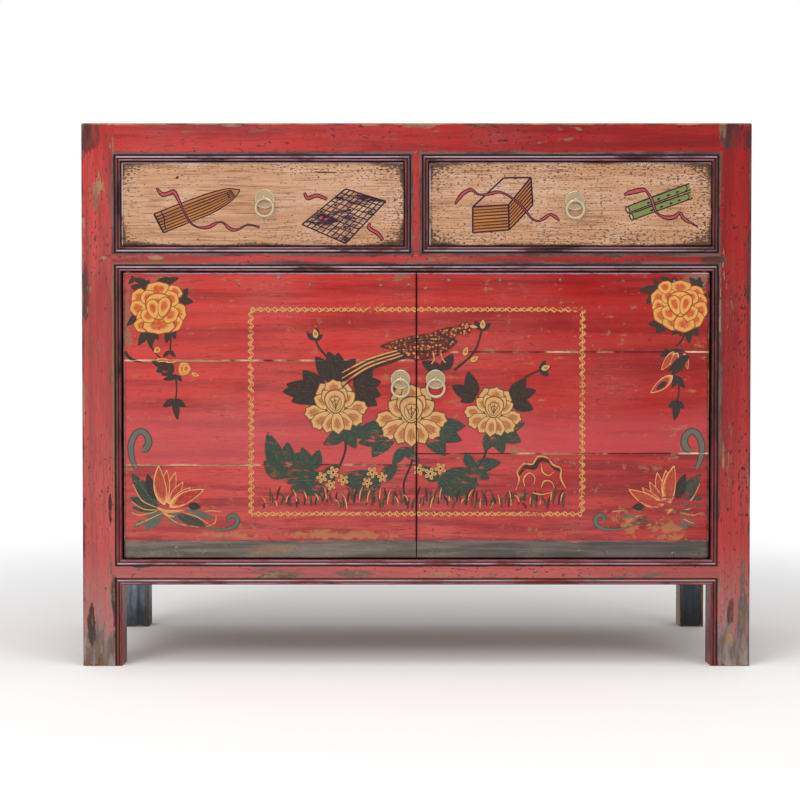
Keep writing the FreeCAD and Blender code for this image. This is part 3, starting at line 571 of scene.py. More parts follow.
def door_ground(finish, seams, way):
    """The doors' lacquer with everything that wears it, also under and between the ornament."""
    colours = finish_settings()
    colour, roughness, height = lacquer_ground(finish, "x", 0.2, 0.0)
    streaks = finish.drawn((5, 5, 75), 6, 0.7, 0.4)
    crumbs = (streaks - 0.5) * 2 + (finish.noise(finish.point, 60, 4, 0.7) - 0.5) * 2.4
    washed = finish.z.rise(0.42, 0.375) * finish.z.rise(seams[1] - 0.001, seams[1] + 0.001)
    below = finish.z.rise(seams[1] + 0.001, seams[1] - 0.001) * streaks.rise(0.45, 0.6)
    smear = (spots(finish, DOOR_SMEARS) + crumbs * 1.1).rise(0.3, 0.7)
    smudge = (foot_board_top + 0.115 - finish.z).rise(0, 0.05) * streaks.rise(0.45, 0.3)
    top_worn = (spots(finish, DOOR_BARE_TOPS) * 1.2 + crumbs).rise(0.45, 0.6)
    colour = finish.layered(
        colour,
        (washed * (0.25 + streaks * 0.3), 0xC8565C),
        (below * 0.5, 0x6A2A30),
        (smear * 0.65, 0xB57C50),
        (smudge * 0.5, 0x6C4646),
        (top_worn * 0.7, 0x8C6450),
    )
    colour, seam = seam_wear(finish, seams[1:], colour, 0.4 if way < 0 else 0.5)
    meeting = (finish.x * way + (streaks - 0.5) * 0.006).rise(0.0036, 0.0012)
    colour = finish.blend(meeting * 0.6, colour, colours.grime)
    return colour, roughness + seam * 0.2, height - seam * 0.6


def door_seams(side):
    """The heights of a door's seams; the first is its foot board's."""
    names = [f"{side}_door_{piece}_board" for piece in ("foot", "lower", "middle")]
    return [node_box(name)[1][2] for name in names]


def door_lacquer(side, piece):
    """Lacquer on one piece of a door; the foot boards' paint runs on over the hinge stile."""
    name = f"{side}_door_{piece}"
    finish = Finish(f"{name}_lacquer", PAINT_SHINE)
    way = -1 if side == "left" else 1
    colour, roughness, height = door_ground(finish, door_seams(side), way)
    ragged = finish.drawn((30, 60, 80), 6, 0.72)
    crown = middle_bottom - finish.z
    top = (crown + (ragged - 0.5) * 0.008).rise(0.0066, 0.003)
    hinge = (opening_half - finish.x * way).least(crown)
    # A pale mauve line along the rounded hinge and top edges: partly wear, partly painted reflection
    pale = (hinge + (ragged - 0.5) * 0.003).rise(0.0046, 0.0036)
    edge_wear_and_highlight_tint = finish.blend(ragged.rise(0.5, 0.62), 0xC8A2AC, 0x8C5A64)
    colour = finish.layered(colour, (top * 0.7, 0x6A4044), (pale * 0.8, edge_wear_and_highlight_tint))
    if piece == "hinge_stile":
        foot = finish.z.rise(foot_board_top + 0.0003, foot_board_top - 0.0003)
        colour = finish.blend(foot, colour, foot_colour(finish)[0])
    back = hidden_back(finish, door_face)
    along = "z" if piece == "hinge_stile" else "x"
    coat = bare_side(finish, (colour, roughness, height), back, along, node_box(name)[0][2] * 7 + way)
    return finish.done(*coat, COAT_RELIEF)


def foot_colour(finish):
    """Grey-green paint of the foot boards, rubbed through in places, and its streaks."""
    colours = finish_settings()
    streaks = finish.drawn((9, 60, 130), 5, 0.66, 0.3)
    patches = finish.drawn((11, 20, 30), 5, 0.7)
    curls = finish.noise(finish.point, 85, 3, 0.6, 2.5)
    # Where the grey-green paint is rubbed through
    rubbed_and_highlit = (patches + spot(finish, -240, 187, 60, 14).greatest(0) * 0.25).rise(0.58, 0.7)
    lines = (curls - 0.5).absolute().rise(0.02, 0.005) * patches.rise(0.5, 0.58)
    red = (foot_board_top - finish.z + (patches - 0.42) * 0.02).rise(0.003, 0.001)
    low = (finish.z - door_foot + (patches - 0.5) * 0.004).rise(0.0035, 0.0005)
    colour = finish.layered(
        colours.foot_grey,
        (streaks.rise(0.35, 0.65), 0x57524A),
        (rubbed_and_highlit * 0.6, 0x8A6A4E),
        (lines * 0.5, 0xA99A84),
        # Painted shade: darker towards the right
        (finish.x.rise(-0.1, 0.3) * 0.35, 0x3C3838),
        (red * 0.8, 0xB4605A),
        (low * 0.8, colours.grime),
    )
    return colour, streaks


def foot_paint(side):
    """The paint of a door's foot board."""
    finish = Finish(f"{side}_foot_paint", PAINT_SHINE)
    colour, streaks = foot_colour(finish)
    return finish.done(colour, 0.5 + streaks * 0.2, streaks * 0.6, COAT_RELIEF)


# How far round an edge the next face's coat fades in and is full
LAP_START, LAP_FULL = 1.6 * MM, 0.8 * MM

# How far a post's outer side stands before its panel, from where the lacquer starts to where it is full
PANEL_SETBACK_START, PANEL_SETBACK_FULL = 9.8 * MM, 9.2 * MM


def lapped(place, end):
    """1 on the face that lies at the end of a way, with a narrow lap round its edges."""
    return place.rise(end - LAP_START, end - LAP_FULL)


def leg_paint(name, box):
    """A rear post's coats: slate blue inwards, dark wood behind, lacquer outside, on top and at the panel."""
    colours = finish_settings()
    finish = Finish(name, FRAME_SHINE)
    grain = finish.grained("z")
    streaks = finish.drawn((6, 90, 90), 5, 0.65, place=grain)
    patches = finish.drawn((12, 26, 26), 5, 0.68, place=grain)
    foot = (finish.z + (0.5 - patches) * 0.12).rise(0.075, 0.02)
    rim = (edge_distance(finish, box) + (0.5 - patches) * 0.016).rise(0.004, 0.0006)
    layers = [
        (streaks.rise(0.35, 0.68), 0x5C6A76),
        # Painted shade: the right rear leg is made darker than the left
        (finish.x.rise(-0.1, 0.1) * 0.8, 0x303840),
        (foot * 0.85, 0x2F2C2E),
        (rim * 0.8, finish.blend(streaks.rise(0.4, 0.6), colours.grime, colours.worn_wood)),
    ]
    if box[0][0] > 0:
        inner = finish.x.rise(box[0][0] + 0.0012, box[0][0] + 0.0002)
        layers.append((inner * 0.75, 0xB8A284))
    behind = lapped(finish.y, box[1][1])
    wood = finish.blend(streaks.rise(0.36, 0.62), 0x8A6648, 0x4A3426)
    outer_x = max(-box[0][0], box[1][0])
    outside = lapped(finish.x.absolute(), outer_x)
    outside = outside.greatest(lapped(finish.z, box[1][2]))
    beside_panel = finish.x.absolute().rise(outer_x - PANEL_SETBACK_START, outer_x - PANEL_SETBACK_FULL)
    outside = outside.greatest(beside_panel * finish.z.rise(rail_bottom, rail_bottom + 0.002))
    lacquer, roughness, height = worn_lacquer(finish, box, "z", False)
    layers += [(behind * (1 - rim * 0.5), wood), (outside, lacquer)]
    colour = finish.layered(colours.leg_blue, *layers)
    roughness = roughness + (1 - outside) * patches * 0.2
    return finish.done(colour, roughness, height + streaks * 0.4, FRAME_RELIEF)


def drawer_ground(finish, box):
    """Cream paint on a drawer front: grained, speckled, dirty towards its edges, with a painted highlight
    along its top and left edges.
    """
    colours = finish_settings()
    streaks = finish.drawn((5, 60, 150), 5, 0.66, 0.3)
    hairs = finish.drawn((16, 300, 420), 4, 0.65)
    patches = finish.drawn((9, 20, 22), 5, 0.68)
    specks = finish.drawn((190, 300, 420), 3, 0.6)
    (left, _, low), (right, _, high) = box
    aside = (finish.x - left).least(right - finish.x)
    above = (finish.z - low).least(high - finish.z)
    edge = aside.least(above)
    corner = (aside + above * 1.4).rise(0.07, 0.02)
    nearness = edge.rise(0.05, 0.004)
    speck = (specks + nearness * 0.05 + corner * 0.1 + patches * 0.22 + finish.x * 0.06).rise(0.72, 0.77)
    dirt = (edge + (patches - 0.5) * 0.018 + (specks - 0.5) * 0.02 - corner * 0.004).rise(0.0026, 0.0002)
    # Painted highlight: a pale line along the top and left arrises, broken up by the patches
    arris = (finish.x - left).least(high - finish.z)
    rubbed_and_highlit = (arris + (specks - 0.5) * 0.0012).rise(0.002, 0.0014) * patches.rise(0.36, 0.5)
    colour = finish.layered(
        colours.drawer_cream,
        (streaks.rise(0.34, 0.62), 0xBA8A68),
        (patches.rise(0.45, 0.7) * 0.5, 0xDCBBA4),
        (hairs.rise(0.48, 0.66) * 0.7, 0x7E5238),
        (speck * 0.85, 0x3C241C),
        (dirt * 0.8, finish.blend(hairs.rise(0.4, 0.6), 0x4E3630, 0x2A201F)),
        (rubbed_and_highlit * 0.6, 0xCDC2C2),
    )
    height = streaks * 0.35 + hairs * 0.35 - speck * 0.8 - dirt * 0.2
    return colour, 0.5 + dirt * 0.12 + hairs * 0.1, height


def drawer_paint(side):
    """The paint of a drawer front."""
    box = node_box(f"{side}_drawer_front")
    finish = Finish(f"{side}_drawer_paint", PAINT_SHINE)
    colour, roughness, height = drawer_ground(finish, box)
    back = hidden_back(finish, drawer_face)
    coat = bare_side(finish, (colour, roughness, height), back, "x", box[0][0] * 7)
    return finish.done(*coat, COAT_RELIEF)


def plain_wood(name, along, across, width, tone):
    """Aged bare wood: each board of about the given width has its own figure and tone."""
    finish = Finish(f"{name}_wood")
    places = {"x": finish.x, "y": finish.y, "z": finish.z}
    axis = "xyz".index(across)
    low, high = (corner[axis] for corner in node_box(name))
    count = max(1, round((high - low) / width))
    number = (places[across] - low).maths("SNAP", (high - low) / count)
    number = finish.noise(finish.place(number * 61, low * 9, high * 5), 1, 0)
    colour, roughness, height = wood_figure(finish, along, number, tone)
    return finish.done(colour, roughness, height, FRAME_RELIEF)


def wood_figure(finish, along, number, tone):
    """Aged bare wood: colour, roughness and height; a board's number moves its figure and sets its tone."""
    grain = finish.grained(along)
    wander = finish.noise(grain, 26, 3, 0.6)
    moved = finish.place(number * 40, number * 60, number * 20)
    sum_feeds = {0: finish.stretched(grain, 0.9, 8, 8), 1: moved}
    ground = finish.field(finish.add("VectorMath", sum_feeds, operation="ADD"))
    figure = finish.noise(ground, 1, 1.6, 0.45, 0.15)
    rings = ((figure * 260 + wander * 3).sine() + 1) * 0.5
    fibres = finish.drawn((12, 480, 480), 4, 0.65, place=grain)
    pores = finish.drawn((60, 900, 900), 2, 0.5, place=grain)
    patches = finish.noise(finish.point, 7, 6, 0.7)
    dust = finish.drawn((14, 14, 5), 4, 0.7)
    dark = 0x4A3122
    colour = finish.layered(
        finish_settings().inner_wood,
        (number.rise(0.3, 0.7) * 0.5, 0x7C5A3E),
        (rings.rise(0.5, 1.0) * 0.4, dark),
        (fibres.rise(0.42, 0.7) * 0.5, dark),
        (pores.rise(0.6, 0.68) * 0.5, 0x33221A),
        (patches.rise(0.46, 0.66) * 0.45, tone),
        (dust.rise(0.52, 0.7) * 0.3, 0xAE9A80),
    )
    return colour, 0.6 + fibres * 0.25, fibres * 0.6 + rings * 0.25 - pores * 0.3


def peg_ends():
    """End grain of the pegs."""
    finish = Finish("peg_end_grain")
    grain = finish.noise(finish.point, 900, 3, 0.6)
    stain = finish.noise(finish.point, 120, 3, 0.6)
    layers = ((grain.rise(0.4, 0.6), 0x3A271C), (stain.rise(0.5, 0.65) * 0.6, 0x8A6A48))
    return finish.done(finish.layered(0x6B4A32, *layers), 0.6 + grain * 0.2, grain, 0.2 * MM)


# Radii between which the browner middle of a back plate fades out
PLATE_MIDDLE_END, PLATE_MIDDLE_FULL = 12.8 * MM, 11.8 * MM


def old_brass(name, polish, box=None):
    """Brass gone pale and greenish, rubbed brighter where hands reach it; a plate's face is browner."""
    finish = Finish(name, {"Metallic": 0.9})
    film = finish.noise(finish.point, 190, 5, 0.65)
    scratches = finish.drawn((900, 900, 160), 3, 0.6)
    pits = finish.noise(finish.point, 1400, 2, 0.5)
    layers = [
        (film.rise(0.42, 0.72) * (1 - polish) * 0.6, 0x8E846A),
        (pits.rise(0.6, 0.72) * 0.4, 0x5A5442),
    ]
    if box:
        middle_x, middle_z = (box[0][0] + box[1][0]) / 2, (box[0][2] + box[1][2]) / 2
        aside, above = finish.x - middle_x, finish.z - middle_z
        inner = (aside * aside + above * above).root().rise(PLATE_MIDDLE_END, PLATE_MIDDLE_FULL)
        layers.append((inner * (0.5 + film * 0.5), 0xA98A62))
    colour = finish.layered(finish_settings().brass, *layers)
    roughness = 0.2 + film.rise(0.35, 0.7) * 0.22 + scratches * 0.1
    return finish.done(colour, roughness, scratches * 0.5 - pits * 0.6, 0.08 * MM)


def nail_iron():
    """Iron of the nail heads, greyed by old paint."""
    finish = Finish("nail_iron", {"Metallic": 0.4})
    rust = finish.noise(finish.point, 420, 4, 0.65)
    colour = finish.blend(rust.rise(0.4, 0.62), 0x8E7E78, 0x4C3632)
    return finish.done(colour, 0.45 + rust * 0.3, rust, 0.15 * MM)


class PaintedShapes:
    """Flat shapes of paint on one plane, later thickened; each has its own place in the stack of coats."""

    def __init__(self, face, paints):
        self.face = face
        self.paints = paints
        self.sheets = []
        self.new_sheet()
        self.kinds = []
        self.coat = 0
        self.random = random.Random(3)

    def new_sheet(self):
        """Starts another mesh, as operators are slow on large ones."""
        self.mesh = bmesh.new()
        self.uv = self.mesh.loops.layers.uv.new("paint")
        self.tone = self.mesh.verts.layers.float.new("tone")
        self.sheets.append(self.mesh)

    def join_sheets(self):
        """Makes one mesh of all sheets."""
        self.mesh = bmesh.new()
        for sheet in self.sheets:
            data = bpy.data.meshes.new("sheet")
            sheet.to_mesh(data)
            sheet.free()
            self.mesh.from_mesh(data)
            bpy.data.meshes.remove(data)
        self.sheets = []

    def finish_shape(self, verts, spots_by_vert, paint):
        """Gives a shape its paint, tone, pattern coordinates and coat."""
        settings = ornament_settings()
        if paint not in self.kinds:
            self.kinds.append(paint)
        index = self.kinds.index(paint)
        depth = settings.paint_depth + self.coat * settings.coat_step
        self.coat += 1
        tone = self.random.random()
        faces = {face for vert in verts for face in vert.link_faces}
        for face in faces:
            face.material_index = index
            for loop in face.loops:
                loop[self.uv].uv = spots_by_vert[loop.vert][1]
        for vert in verts:
            x, z = spots_by_vert[vert][0]
            vert.co = Vector((x * MM, self.face - depth, z * MM))
            vert[self.tone] = tone
        if len(self.mesh.verts) > SHEET_VERTS:
            self.new_sheet()

    def blot(self, paint, place, outline, points=28):
        """A shape round a centre; outline turns an angle into a point, and place puts it on the plane."""
        verts = bmesh.ops.create_circle(self.mesh, cap_ends=True, segments=points, radius=1)["verts"]
        centre = bmesh.ops.poke(self.mesh, faces=list(verts[0].link_faces))["verts"][0]
        spots_by_vert = {centre: (place(0, 0), (0.5, 0.5))}
        for vert in verts:
            u, v = vert.co.x, vert.co.y
            spots_by_vert[vert] = (place(*outline(math.atan2(v, u))), (0.5 + u / 2, 0.5 + v / 2))
        self.finish_shape(verts + [centre], spots_by_vert, paint)

    def stroke(self, paint, knots, widths, pieces=24):
        """A brush stroke through knots; widths are its half widths at even steps along it."""
        path = smooth_path(knots, pieces)
        lengths = [0]
        for here, there in zip(path, path[1:]):
            lengths.append(lengths[-1] + math.dist(here, there))
        verts = bmesh.ops.create_grid(self.mesh, x_segments=pieces, y_segments=1, size=1)["verts"]
        spots_by_vert = {}
        for vert in verts:
            number = round((vert.co.x + 1) / 2 * pieces)
            before, after = path[max(number - 1, 0)], path[min(number + 1, pieces)]
            run_x, run_z = after[0] - before[0], after[1] - before[1]
            run = math.hypot(run_x, run_z) or 1
            half = max(between(widths, number / pieces), 0.08) * vert.co.y
            place = (path[number][0] - run_z / run * half, path[number][1] + run_x / run * half)
            spots_by_vert[vert] = (place, (lengths[number] / 10, 0.5 + vert.co.y / 2))
        self.finish_shape(verts, spots_by_vert, paint)

    def patch(self, paint, corners):
        """A four-cornered shape, its corners listed round from the lower left."""
        cells = {"x_segments": PATCH_CELLS, "y_segments": PATCH_CELLS}
        verts = bmesh.ops.create_grid(self.mesh, size=1, **cells)["verts"]
        spots_by_vert = {}
        for vert in verts:
            u, v = (vert.co.x + 1) / 2, (vert.co.y + 1) / 2
            (ax, az), (bx, bz), (cx, cz), (dx, dz) = corners
            x = (ax * (1 - u) + bx * u) * (1 - v) + (dx * (1 - u) + cx * u) * v
            z = (az * (1 - u) + bz * u) * (1 - v) + (dz * (1 - u) + cz * u) * v
            spots_by_vert[vert] = ((x, z), (u, v))
        self.finish_shape(verts, spots_by_vert, paint)

    def cut(self, where, normal, keep_all=False):
        """Cuts every shape at a plane, and drops what lies beyond it unless all is kept."""
        parts = self.mesh.verts[:] + self.mesh.edges[:] + self.mesh.faces[:]
        sides = {"plane_co": where, "plane_no": normal, "clear_outer": not keep_all}
        bmesh.ops.bisect_plane(self.mesh, geom=parts, **sides)

    def open_seams(self, seams, half):
        """Leaves the seams between boards bare."""
        for seam in seams:
            self.cut((0, 0, seam - half), (0, 0, 1), True)
            self.cut((0, 0, seam + half), (0, 0, 1), True)
        crossing = []
        for face in self.mesh.faces:
            if any(abs(face.calc_center_median().z - seam) < half for seam in seams):
                crossing.append(face)
        bmesh.ops.delete(self.mesh, geom=crossing, context="FACES")

    def build(self, name, body):
        """Gives the shapes their thickness and makes them one object on a body."""
        mesh = self.mesh
        parts = mesh.verts[:] + mesh.edges[:] + mesh.faces[:]
        made = bmesh.ops.extrude_face_region(mesh, geom=parts, use_keep_orig=True)["geom"]
        for part in made:
            if isinstance(part, bmesh.types.BMVert):
                part.co.y = self.face + PAINT_SINK
        bmesh.ops.recalc_face_normals(mesh, faces=mesh.faces[:])
        materials = [self.paints.get(kind) for kind in self.kinds]
        return make_piece(name, mesh, materials, body)


def make_piece(name, mesh, materials, body):
    """Turns a finished bmesh into an object that rides on a body."""
    data = bpy.data.meshes.new(name)
    mesh.to_mesh(data)
    mesh.free()
    for material in materials:
        data.materials.append(material)
    piece = bpy.data.objects.new(name, data)
    bpy.context.scene.collection.objects.link(piece)
    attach(piece, body)
    return piece


def between(values, share):
    """The value at a share of the way along a row of values."""
    place = share * (len(values) - 1)
    number = min(int(place), len(values) - 2)
    return values[number] + (values[number + 1] - values[number]) * (place - number)


def smooth_path(knots, pieces):
    """Points at even steps on a smooth line through knots."""
    ends = [knots[0], *knots, knots[-1]]
    path = []
    for number in range(pieces + 1):
        place = number / pieces * (len(knots) - 1)
        start = min(int(place), len(knots) - 2)
        t = place - start
        point = []
        for a, b, c, d in zip(*ends[start:start + 4]):
            bend = t * t * (a - 2.5 * b + 2 * c - d / 2) + t ** 3 * (1.5 * (b - c) + (d - a) / 2)
            point.append(b + t * (c - a) / 2 + bend)
        path.append(tuple(point))
    return path


def turned(x, z, angle, length, width=None):
    """Puts unit shapes on the plane: their first way points along an angle in degrees."""
    turn = math.radians(angle)
    width = length if width is None else width

    def place(u, v):
        along, across = u * length, v * width
        aside = along * math.cos(turn) - across * math.sin(turn)
        return x + aside, z + along * math.sin(turn) + across * math.cos(turn)

    return place


def leaf_outline(bend=0.0):
    """A leaf from its stalk at (-1, 0) to its tip at (1, 0), widest in its first half."""

    def outline(angle):
        along = math.cos(angle)
        across = math.sin(angle) * abs(math.sin(angle)) ** 0.5 * (1 - 0.3 * along)
        return along, across + bend * (1 - along * along)

    return outline


def petal_outline(scallops, notch=0.1):
    """A petal, narrow at (-1, 0), wide and scalloped at its outer end."""

    def outline(angle):
        outer = 0.5 + 0.5 * math.cos(angle)
        wave = 1 - notch * outer * abs(math.sin(scallops * angle))
        flare = 1 + 0.25 * math.cos(angle)
        return math.cos(angle) * wave, math.sin(angle) * flare * wave

    return outline


def oval_outline(angle):
    return math.cos(angle), math.sin(angle)


def paint_wear(finish, strength, low, high):
    """Where paint has rubbed off: strength moves the limit, and low and high are the noise's bounds."""
    streaks = finish.drawn((34, 60, 150), 6, 0.72)
    patches = finish.noise(finish.point, 26, 4, 0.65)
    corner = (finish.x - 0.25).rise(0, 0.1) * (0.33 - finish.z).rise(0, 0.08) * 0.09
    return (streaks * 0.6 + patches * 0.4 + corner + strength).rise(low, high)


def shape_place(finish):
    """Where a point lies in its own shape: along it and across it."""
    parts = finish.add("SeparateXYZ", {0: finish.field(finish.add("UVMap", uv_map="paint"))})
    return finish.field(parts, 0), finish.field(parts, 1)


def disc_fields(finish):
    """A blot's own places: how near its rim a point is, and its two ways."""
    along, across = [(part - 0.5) * 2 for part in shape_place(finish)]
    return (along * along + across * across).root(), along, across


def tone_field(finish):
    return finish.field(finish.add("Attribute", attribute_name="tone"), "Fac")


def brush_marks(finish, along, across):
    """Marks of the brush, other ones in each shape."""
    return finish.noise(finish.place(along, across, tone_field(finish) * 40), 1, 4, 0.65)


class Paints:
    """The paints for ornament on one ground, made once and shared."""

    def __init__(self, name, ground):
        self.name = name
        self.ground = ground
        self.made = {}

    def get(self, kind):
        if kind not in self.made:
            self.made[kind] = PAINT_MAKERS[kind](self, kind)
        return self.made[kind]

    def start(self, kind):
        return Finish(f"{self.name}_{kind}", PAINT_SHINE)

    def finish(self, finish, paint, wear, height=0.0):
        """Lays paint over the ground where it hasn't worn off."""
        colour, roughness, ground_height = self.ground(finish)
        colour = finish.blend(wear, paint, colour)
        return finish.done(colour, roughness + 0.04, ground_height + height, PAINT_RELIEF)


def petal_paint(rim, heart, line_code, reach, wear_strength=0.0):
    """A maker of petal paint: heart, rim and a fine dark line round it."""

    def make(paints, kind):
        settings = ornament_settings()
        finish = paints.start(kind)
        radius, along, across = disc_fields(finish)
        tone = tone_field(finish)
        brush = brush_marks(finish, along * 3, across * 9)
        veins = ((across * 16 + tone * 9 + brush * 4).sine() + 1) * 0.5
        spread = (radius + (brush - 0.5) * 0.5 - along * 0.15).rise(reach - 0.16, reach + 0.1)
        line = (radius + (brush - 0.5) * 0.05).rise(0.86, 0.95)
        paint = finish.layered(
            getattr(settings, heart),
            (veins * 0.45, 0xA23A2A),
            (spread, getattr(settings, rim)),
            (brush.rise(0.5, 0.75) * 0.35, 0xEACC9C),
            ((tone - 0.5).absolute() * 0.3, 0xC08042),
            (line * 0.9, line_code),
        )
        return paints.finish(finish, paint, paint_wear(finish, wear_strength, 0.6, 0.68), line * -0.2)

    return make


def leaf_paint(body, vein_code, wear_strength):
    """A maker of leaf paint: a dark body with a faint midrib."""

    def make(paints, kind):
        finish = paints.start(kind)
        radius, along, across = disc_fields(finish)
        brush = brush_marks(finish, along * 4, across * 7)
        paint = finish.blend(brush.rise(0.45, 0.75) * 0.5, getattr(ornament_settings(), body), vein_code)
        rib = across.absolute().rise(0.09, 0.02) * radius.rise(0.9, 0.6)
        paint = finish.blend(rib * 0.4, paint, vein_code)
        return paints.finish(finish, paint, paint_wear(finish, wear_strength, 0.58, 0.66))

    return make


def stroke_paint(body, brush_code, edge_code, edge_share, wear_strength=0.0):
    """A maker of paint for brush strokes, with edges in another tone."""

    def make(paints, kind):
        finish = paints.start(kind)
        along, across = shape_place(finish)
        brush = brush_marks(finish, along * 1.5, across * 5)
        paint = finish.blend(brush.rise(0.4, 0.7) * 0.5, getattr(ornament_settings(), body), brush_code)
        side = (across - 0.5).absolute() * 2 + (brush - 0.5) * 0.3
        paint = finish.blend(side.rise(1 - edge_share, 1 - edge_share * 0.4) * 0.9, paint, edge_code)
        return paints.finish(finish, paint, paint_wear(finish, wear_strength, 0.6, 0.68))

    return make


def patch_paint(body, line_code, stripes, wear_strength=0.0):
    """A maker of paint for flat patches, streaked along their length."""

    def make(paints, kind):
        finish = paints.start(kind)
        along, across = shape_place(finish)
        brush = finish.noise(finish.place(along * 4, across * 14, 0), 1, 5, 0.7)
        bands = ((across * stripes + brush * 2).sine() + 1) * 0.5
        layers = ((bands.rise(0.4, 0.95) * 0.5, line_code), (brush.rise(0.5, 0.7) * 0.5, 0x6E4448))
        paint = finish.layered(getattr(ornament_settings(), body), *layers)
        return paints.finish(finish, paint, paint_wear(finish, wear_strength, 0.6, 0.7))

    return make


def feather_paint(paints, kind):
    """Small gold and brown feathers with dark rims."""
    settings = ornament_settings()
    finish = paints.start(kind)
    scales = finish.cells(finish.point, 210)
    mottle = finish.noise(finish.point, 260, 4, 0.7)
    radius, _, _ = disc_fields(finish)
    paint = finish.layered(
        settings.line_gold,
        (scales.rise(0.2, 0.55), 0x6A2A24),
        (mottle.rise(0.52, 0.62) * 0.8, settings.leaf_ink),
        (radius.rise(0.86, 0.95) * 0.9, settings.leaf_ink),
    )
    return paints.finish(finish, paint, paint_wear(finish, 0, 0.6, 0.68))


PAINT_MAKERS = {
    "orange_petal": petal_paint("petal_rim", "petal_heart", 0x8A2C20, 0.5),
    "cream_petal": petal_paint("petal_cream", "petal_tan", 0x3A221C, 0.5),
    "lotus_petal": petal_paint("line_gold", "petal_red", 0xE2AE72, 0.86, 0.02),
    "dark_leaf": leaf_paint("leaf_ink", 0x5E5044, -0.02),
    "green_leaf": leaf_paint("leaf_green", 0x66704A, 0.04),
    "grey_leaf": leaf_paint("scroll_grey", 0x3C463C, 0.05),
    "feather": feather_paint,
    "dark_stroke": stroke_paint("leaf_ink", 0x4E443C, 0x241C1A, 0.3),
    "scroll_stroke": stroke_paint("scroll_grey", 0x806E62, 0x2E302E, 0.34, 0.01),
    "gold_stroke": stroke_paint("line_gold", 0xE6C08C, 0xA05E38, 0.4, 0.07),
    "grass_stroke": stroke_paint("leaf_green", 0x6A7446, 0x2C3028, 0.3, 0.03),
    "ink_stroke": stroke_paint("ink", 0x4C3442, 0x241622, 0.5, -0.02),
    "ribbon_stroke": stroke_paint("ribbon_red", 0xCC6460, 0x6A2A36, 0.3, -0.02),
    "green_stroke": stroke_paint("scroll_lime", 0x6E763A, 0x24241E, 0.34, 0.0),
    "zither_patch": patch_paint("board_ochre", 0x6A3A40, 52, 0.01),
    "smudge_patch": patch_paint("ink", 0x5A4650, 30, 0.16),
    "page_patch": patch_paint("board_ochre", 0x9A4A2C, 40, 0.0),
    "ink_blot": leaf_paint("ink", 0x5C4048, 0.0),
    "cream_blot": leaf_paint("petal_cream", 0xC8A07A, 0.0),
    "red_blot": leaf_paint("ribbon_red", 0x8A3A40, 0.05),
    "gold_leaf": leaf_paint("line_gold", 0xEBCB96, 0.0),
}


def leaf(shapes, paint, base, tip, half_width, bend=0.0):
    """A pointed leaf from its base to its tip."""
    run_x, run_z = tip[0] - base[0], tip[1] - base[1]
    angle = math.degrees(math.atan2(run_z, run_x))
    length = math.hypot(run_x, run_z) / 2
    place = turned((base[0] + tip[0]) / 2, (base[1] + tip[1]) / 2, angle, length, half_width)
    shapes.blot(paint, place, leaf_outline(bend))


def spray(shapes, paint, base, tips, half_width):
    """Leaves that spread from one base."""
    for number, tip in enumerate(tips):
        width = min(half_width, 0.3 * math.dist(base, tip))
        leaf(shapes, paint, base, tip, width, 0.12 - 0.24 * (number % 2))


def petals(shapes, paint, table):
    """Petals from a table of place, angle, half length, half width and scallops."""
    for *place, scallops in table:
        shapes.blot(paint, turned(*place), petal_outline(scallops), 36)


TOP_LEFT_PEONY = (
    (-409, 597, 90, 14, 20, 4), (-383, 593, 55, 12, 13, 3), (-437, 584, 150, 16, 15, 3),
    (-440, 569, 190, 15, 13, 3), (-431, 555, 215, 14, 12, 2), (-435, 542, 235, 13, 12, 3),
    (-380, 560, -10, 17, 18, 4), (-385, 545, -50, 15, 15, 3), (-408, 543, -90, 17, 27, 5),
    (-424, 584, 120, 14, 13, 2), (-390, 582, 40, 15, 14, 3), (-391, 559, -45, 15, 15, 3),
    (-424, 557, 230, 13, 13, 2), (-408.5, 571, 90, 22, 21, 0), (-417, 567, 100, 16, 10, 0),
    (-400, 570, 75, 17, 10, 0),
)
TOP_RIGHT_PEONY = (
    (418, 600, 90, 13, 18, 3), (443, 592, 50, 12, 13, 2), (384, 584, 160, 14, 14, 3),
    (386, 571, 190, 14, 13, 3), (389, 558, 215, 15, 15, 3), (448, 579, 15, 13, 13, 2),
    (448, 564, 350, 14, 16, 3), (440, 551, 310, 15, 16, 3), (407, 548, 260, 16, 18, 3),
    (424, 545, 275, 16, 18, 3), (400, 586, 130, 13, 13, 2), (434, 585, 50, 13, 13, 2),
    (401, 561, 225, 13, 14, 3), (433, 561, 315, 13, 14, 3), (417.5, 575, 90, 21, 20, 0),
    (409.5, 573, 108, 17, 9.5, 0), (426, 574, 72, 17, 9.5, 0), (394, 601, 110, 11, 12, 5),
)
TOP_LEFT_SPRAYS = (
    ((-414, 602), ((-375, 616.5), (-394, 618), (-402, 612)), 6.5),
    ((-426, 600), ((-453, 603), (-442, 616), (-424, 614)), 6.5),
    ((-376, 580), ((-353, 578), (-362, 600), (-366, 565)), 6.5),
    ((-423, 540), ((-441, 509), (-408, 518), (-421, 505)), 7),
    ((-391, 542), ((-397, 512), (-374, 534), (-382, 519)), 6),
    ((-438, 563), ((-459, 540), (-453, 561)), 5.5),
    ((-391, 501), ((-402, 491), (-381, 491)), 3.5),
    ((-384, 476), ((-420, 484), (-413, 468), (-404, 462)), 8),
    ((-378, 462), ((-402, 455), (-372, 452)), 4.5),
    ((-384, 424), ((-402, 412), (-365, 412), (-379, 391)), 5.5),
    ((-447, 616), ((-456, 607), (-452, 619), (-440, 608)), 3.5),
)
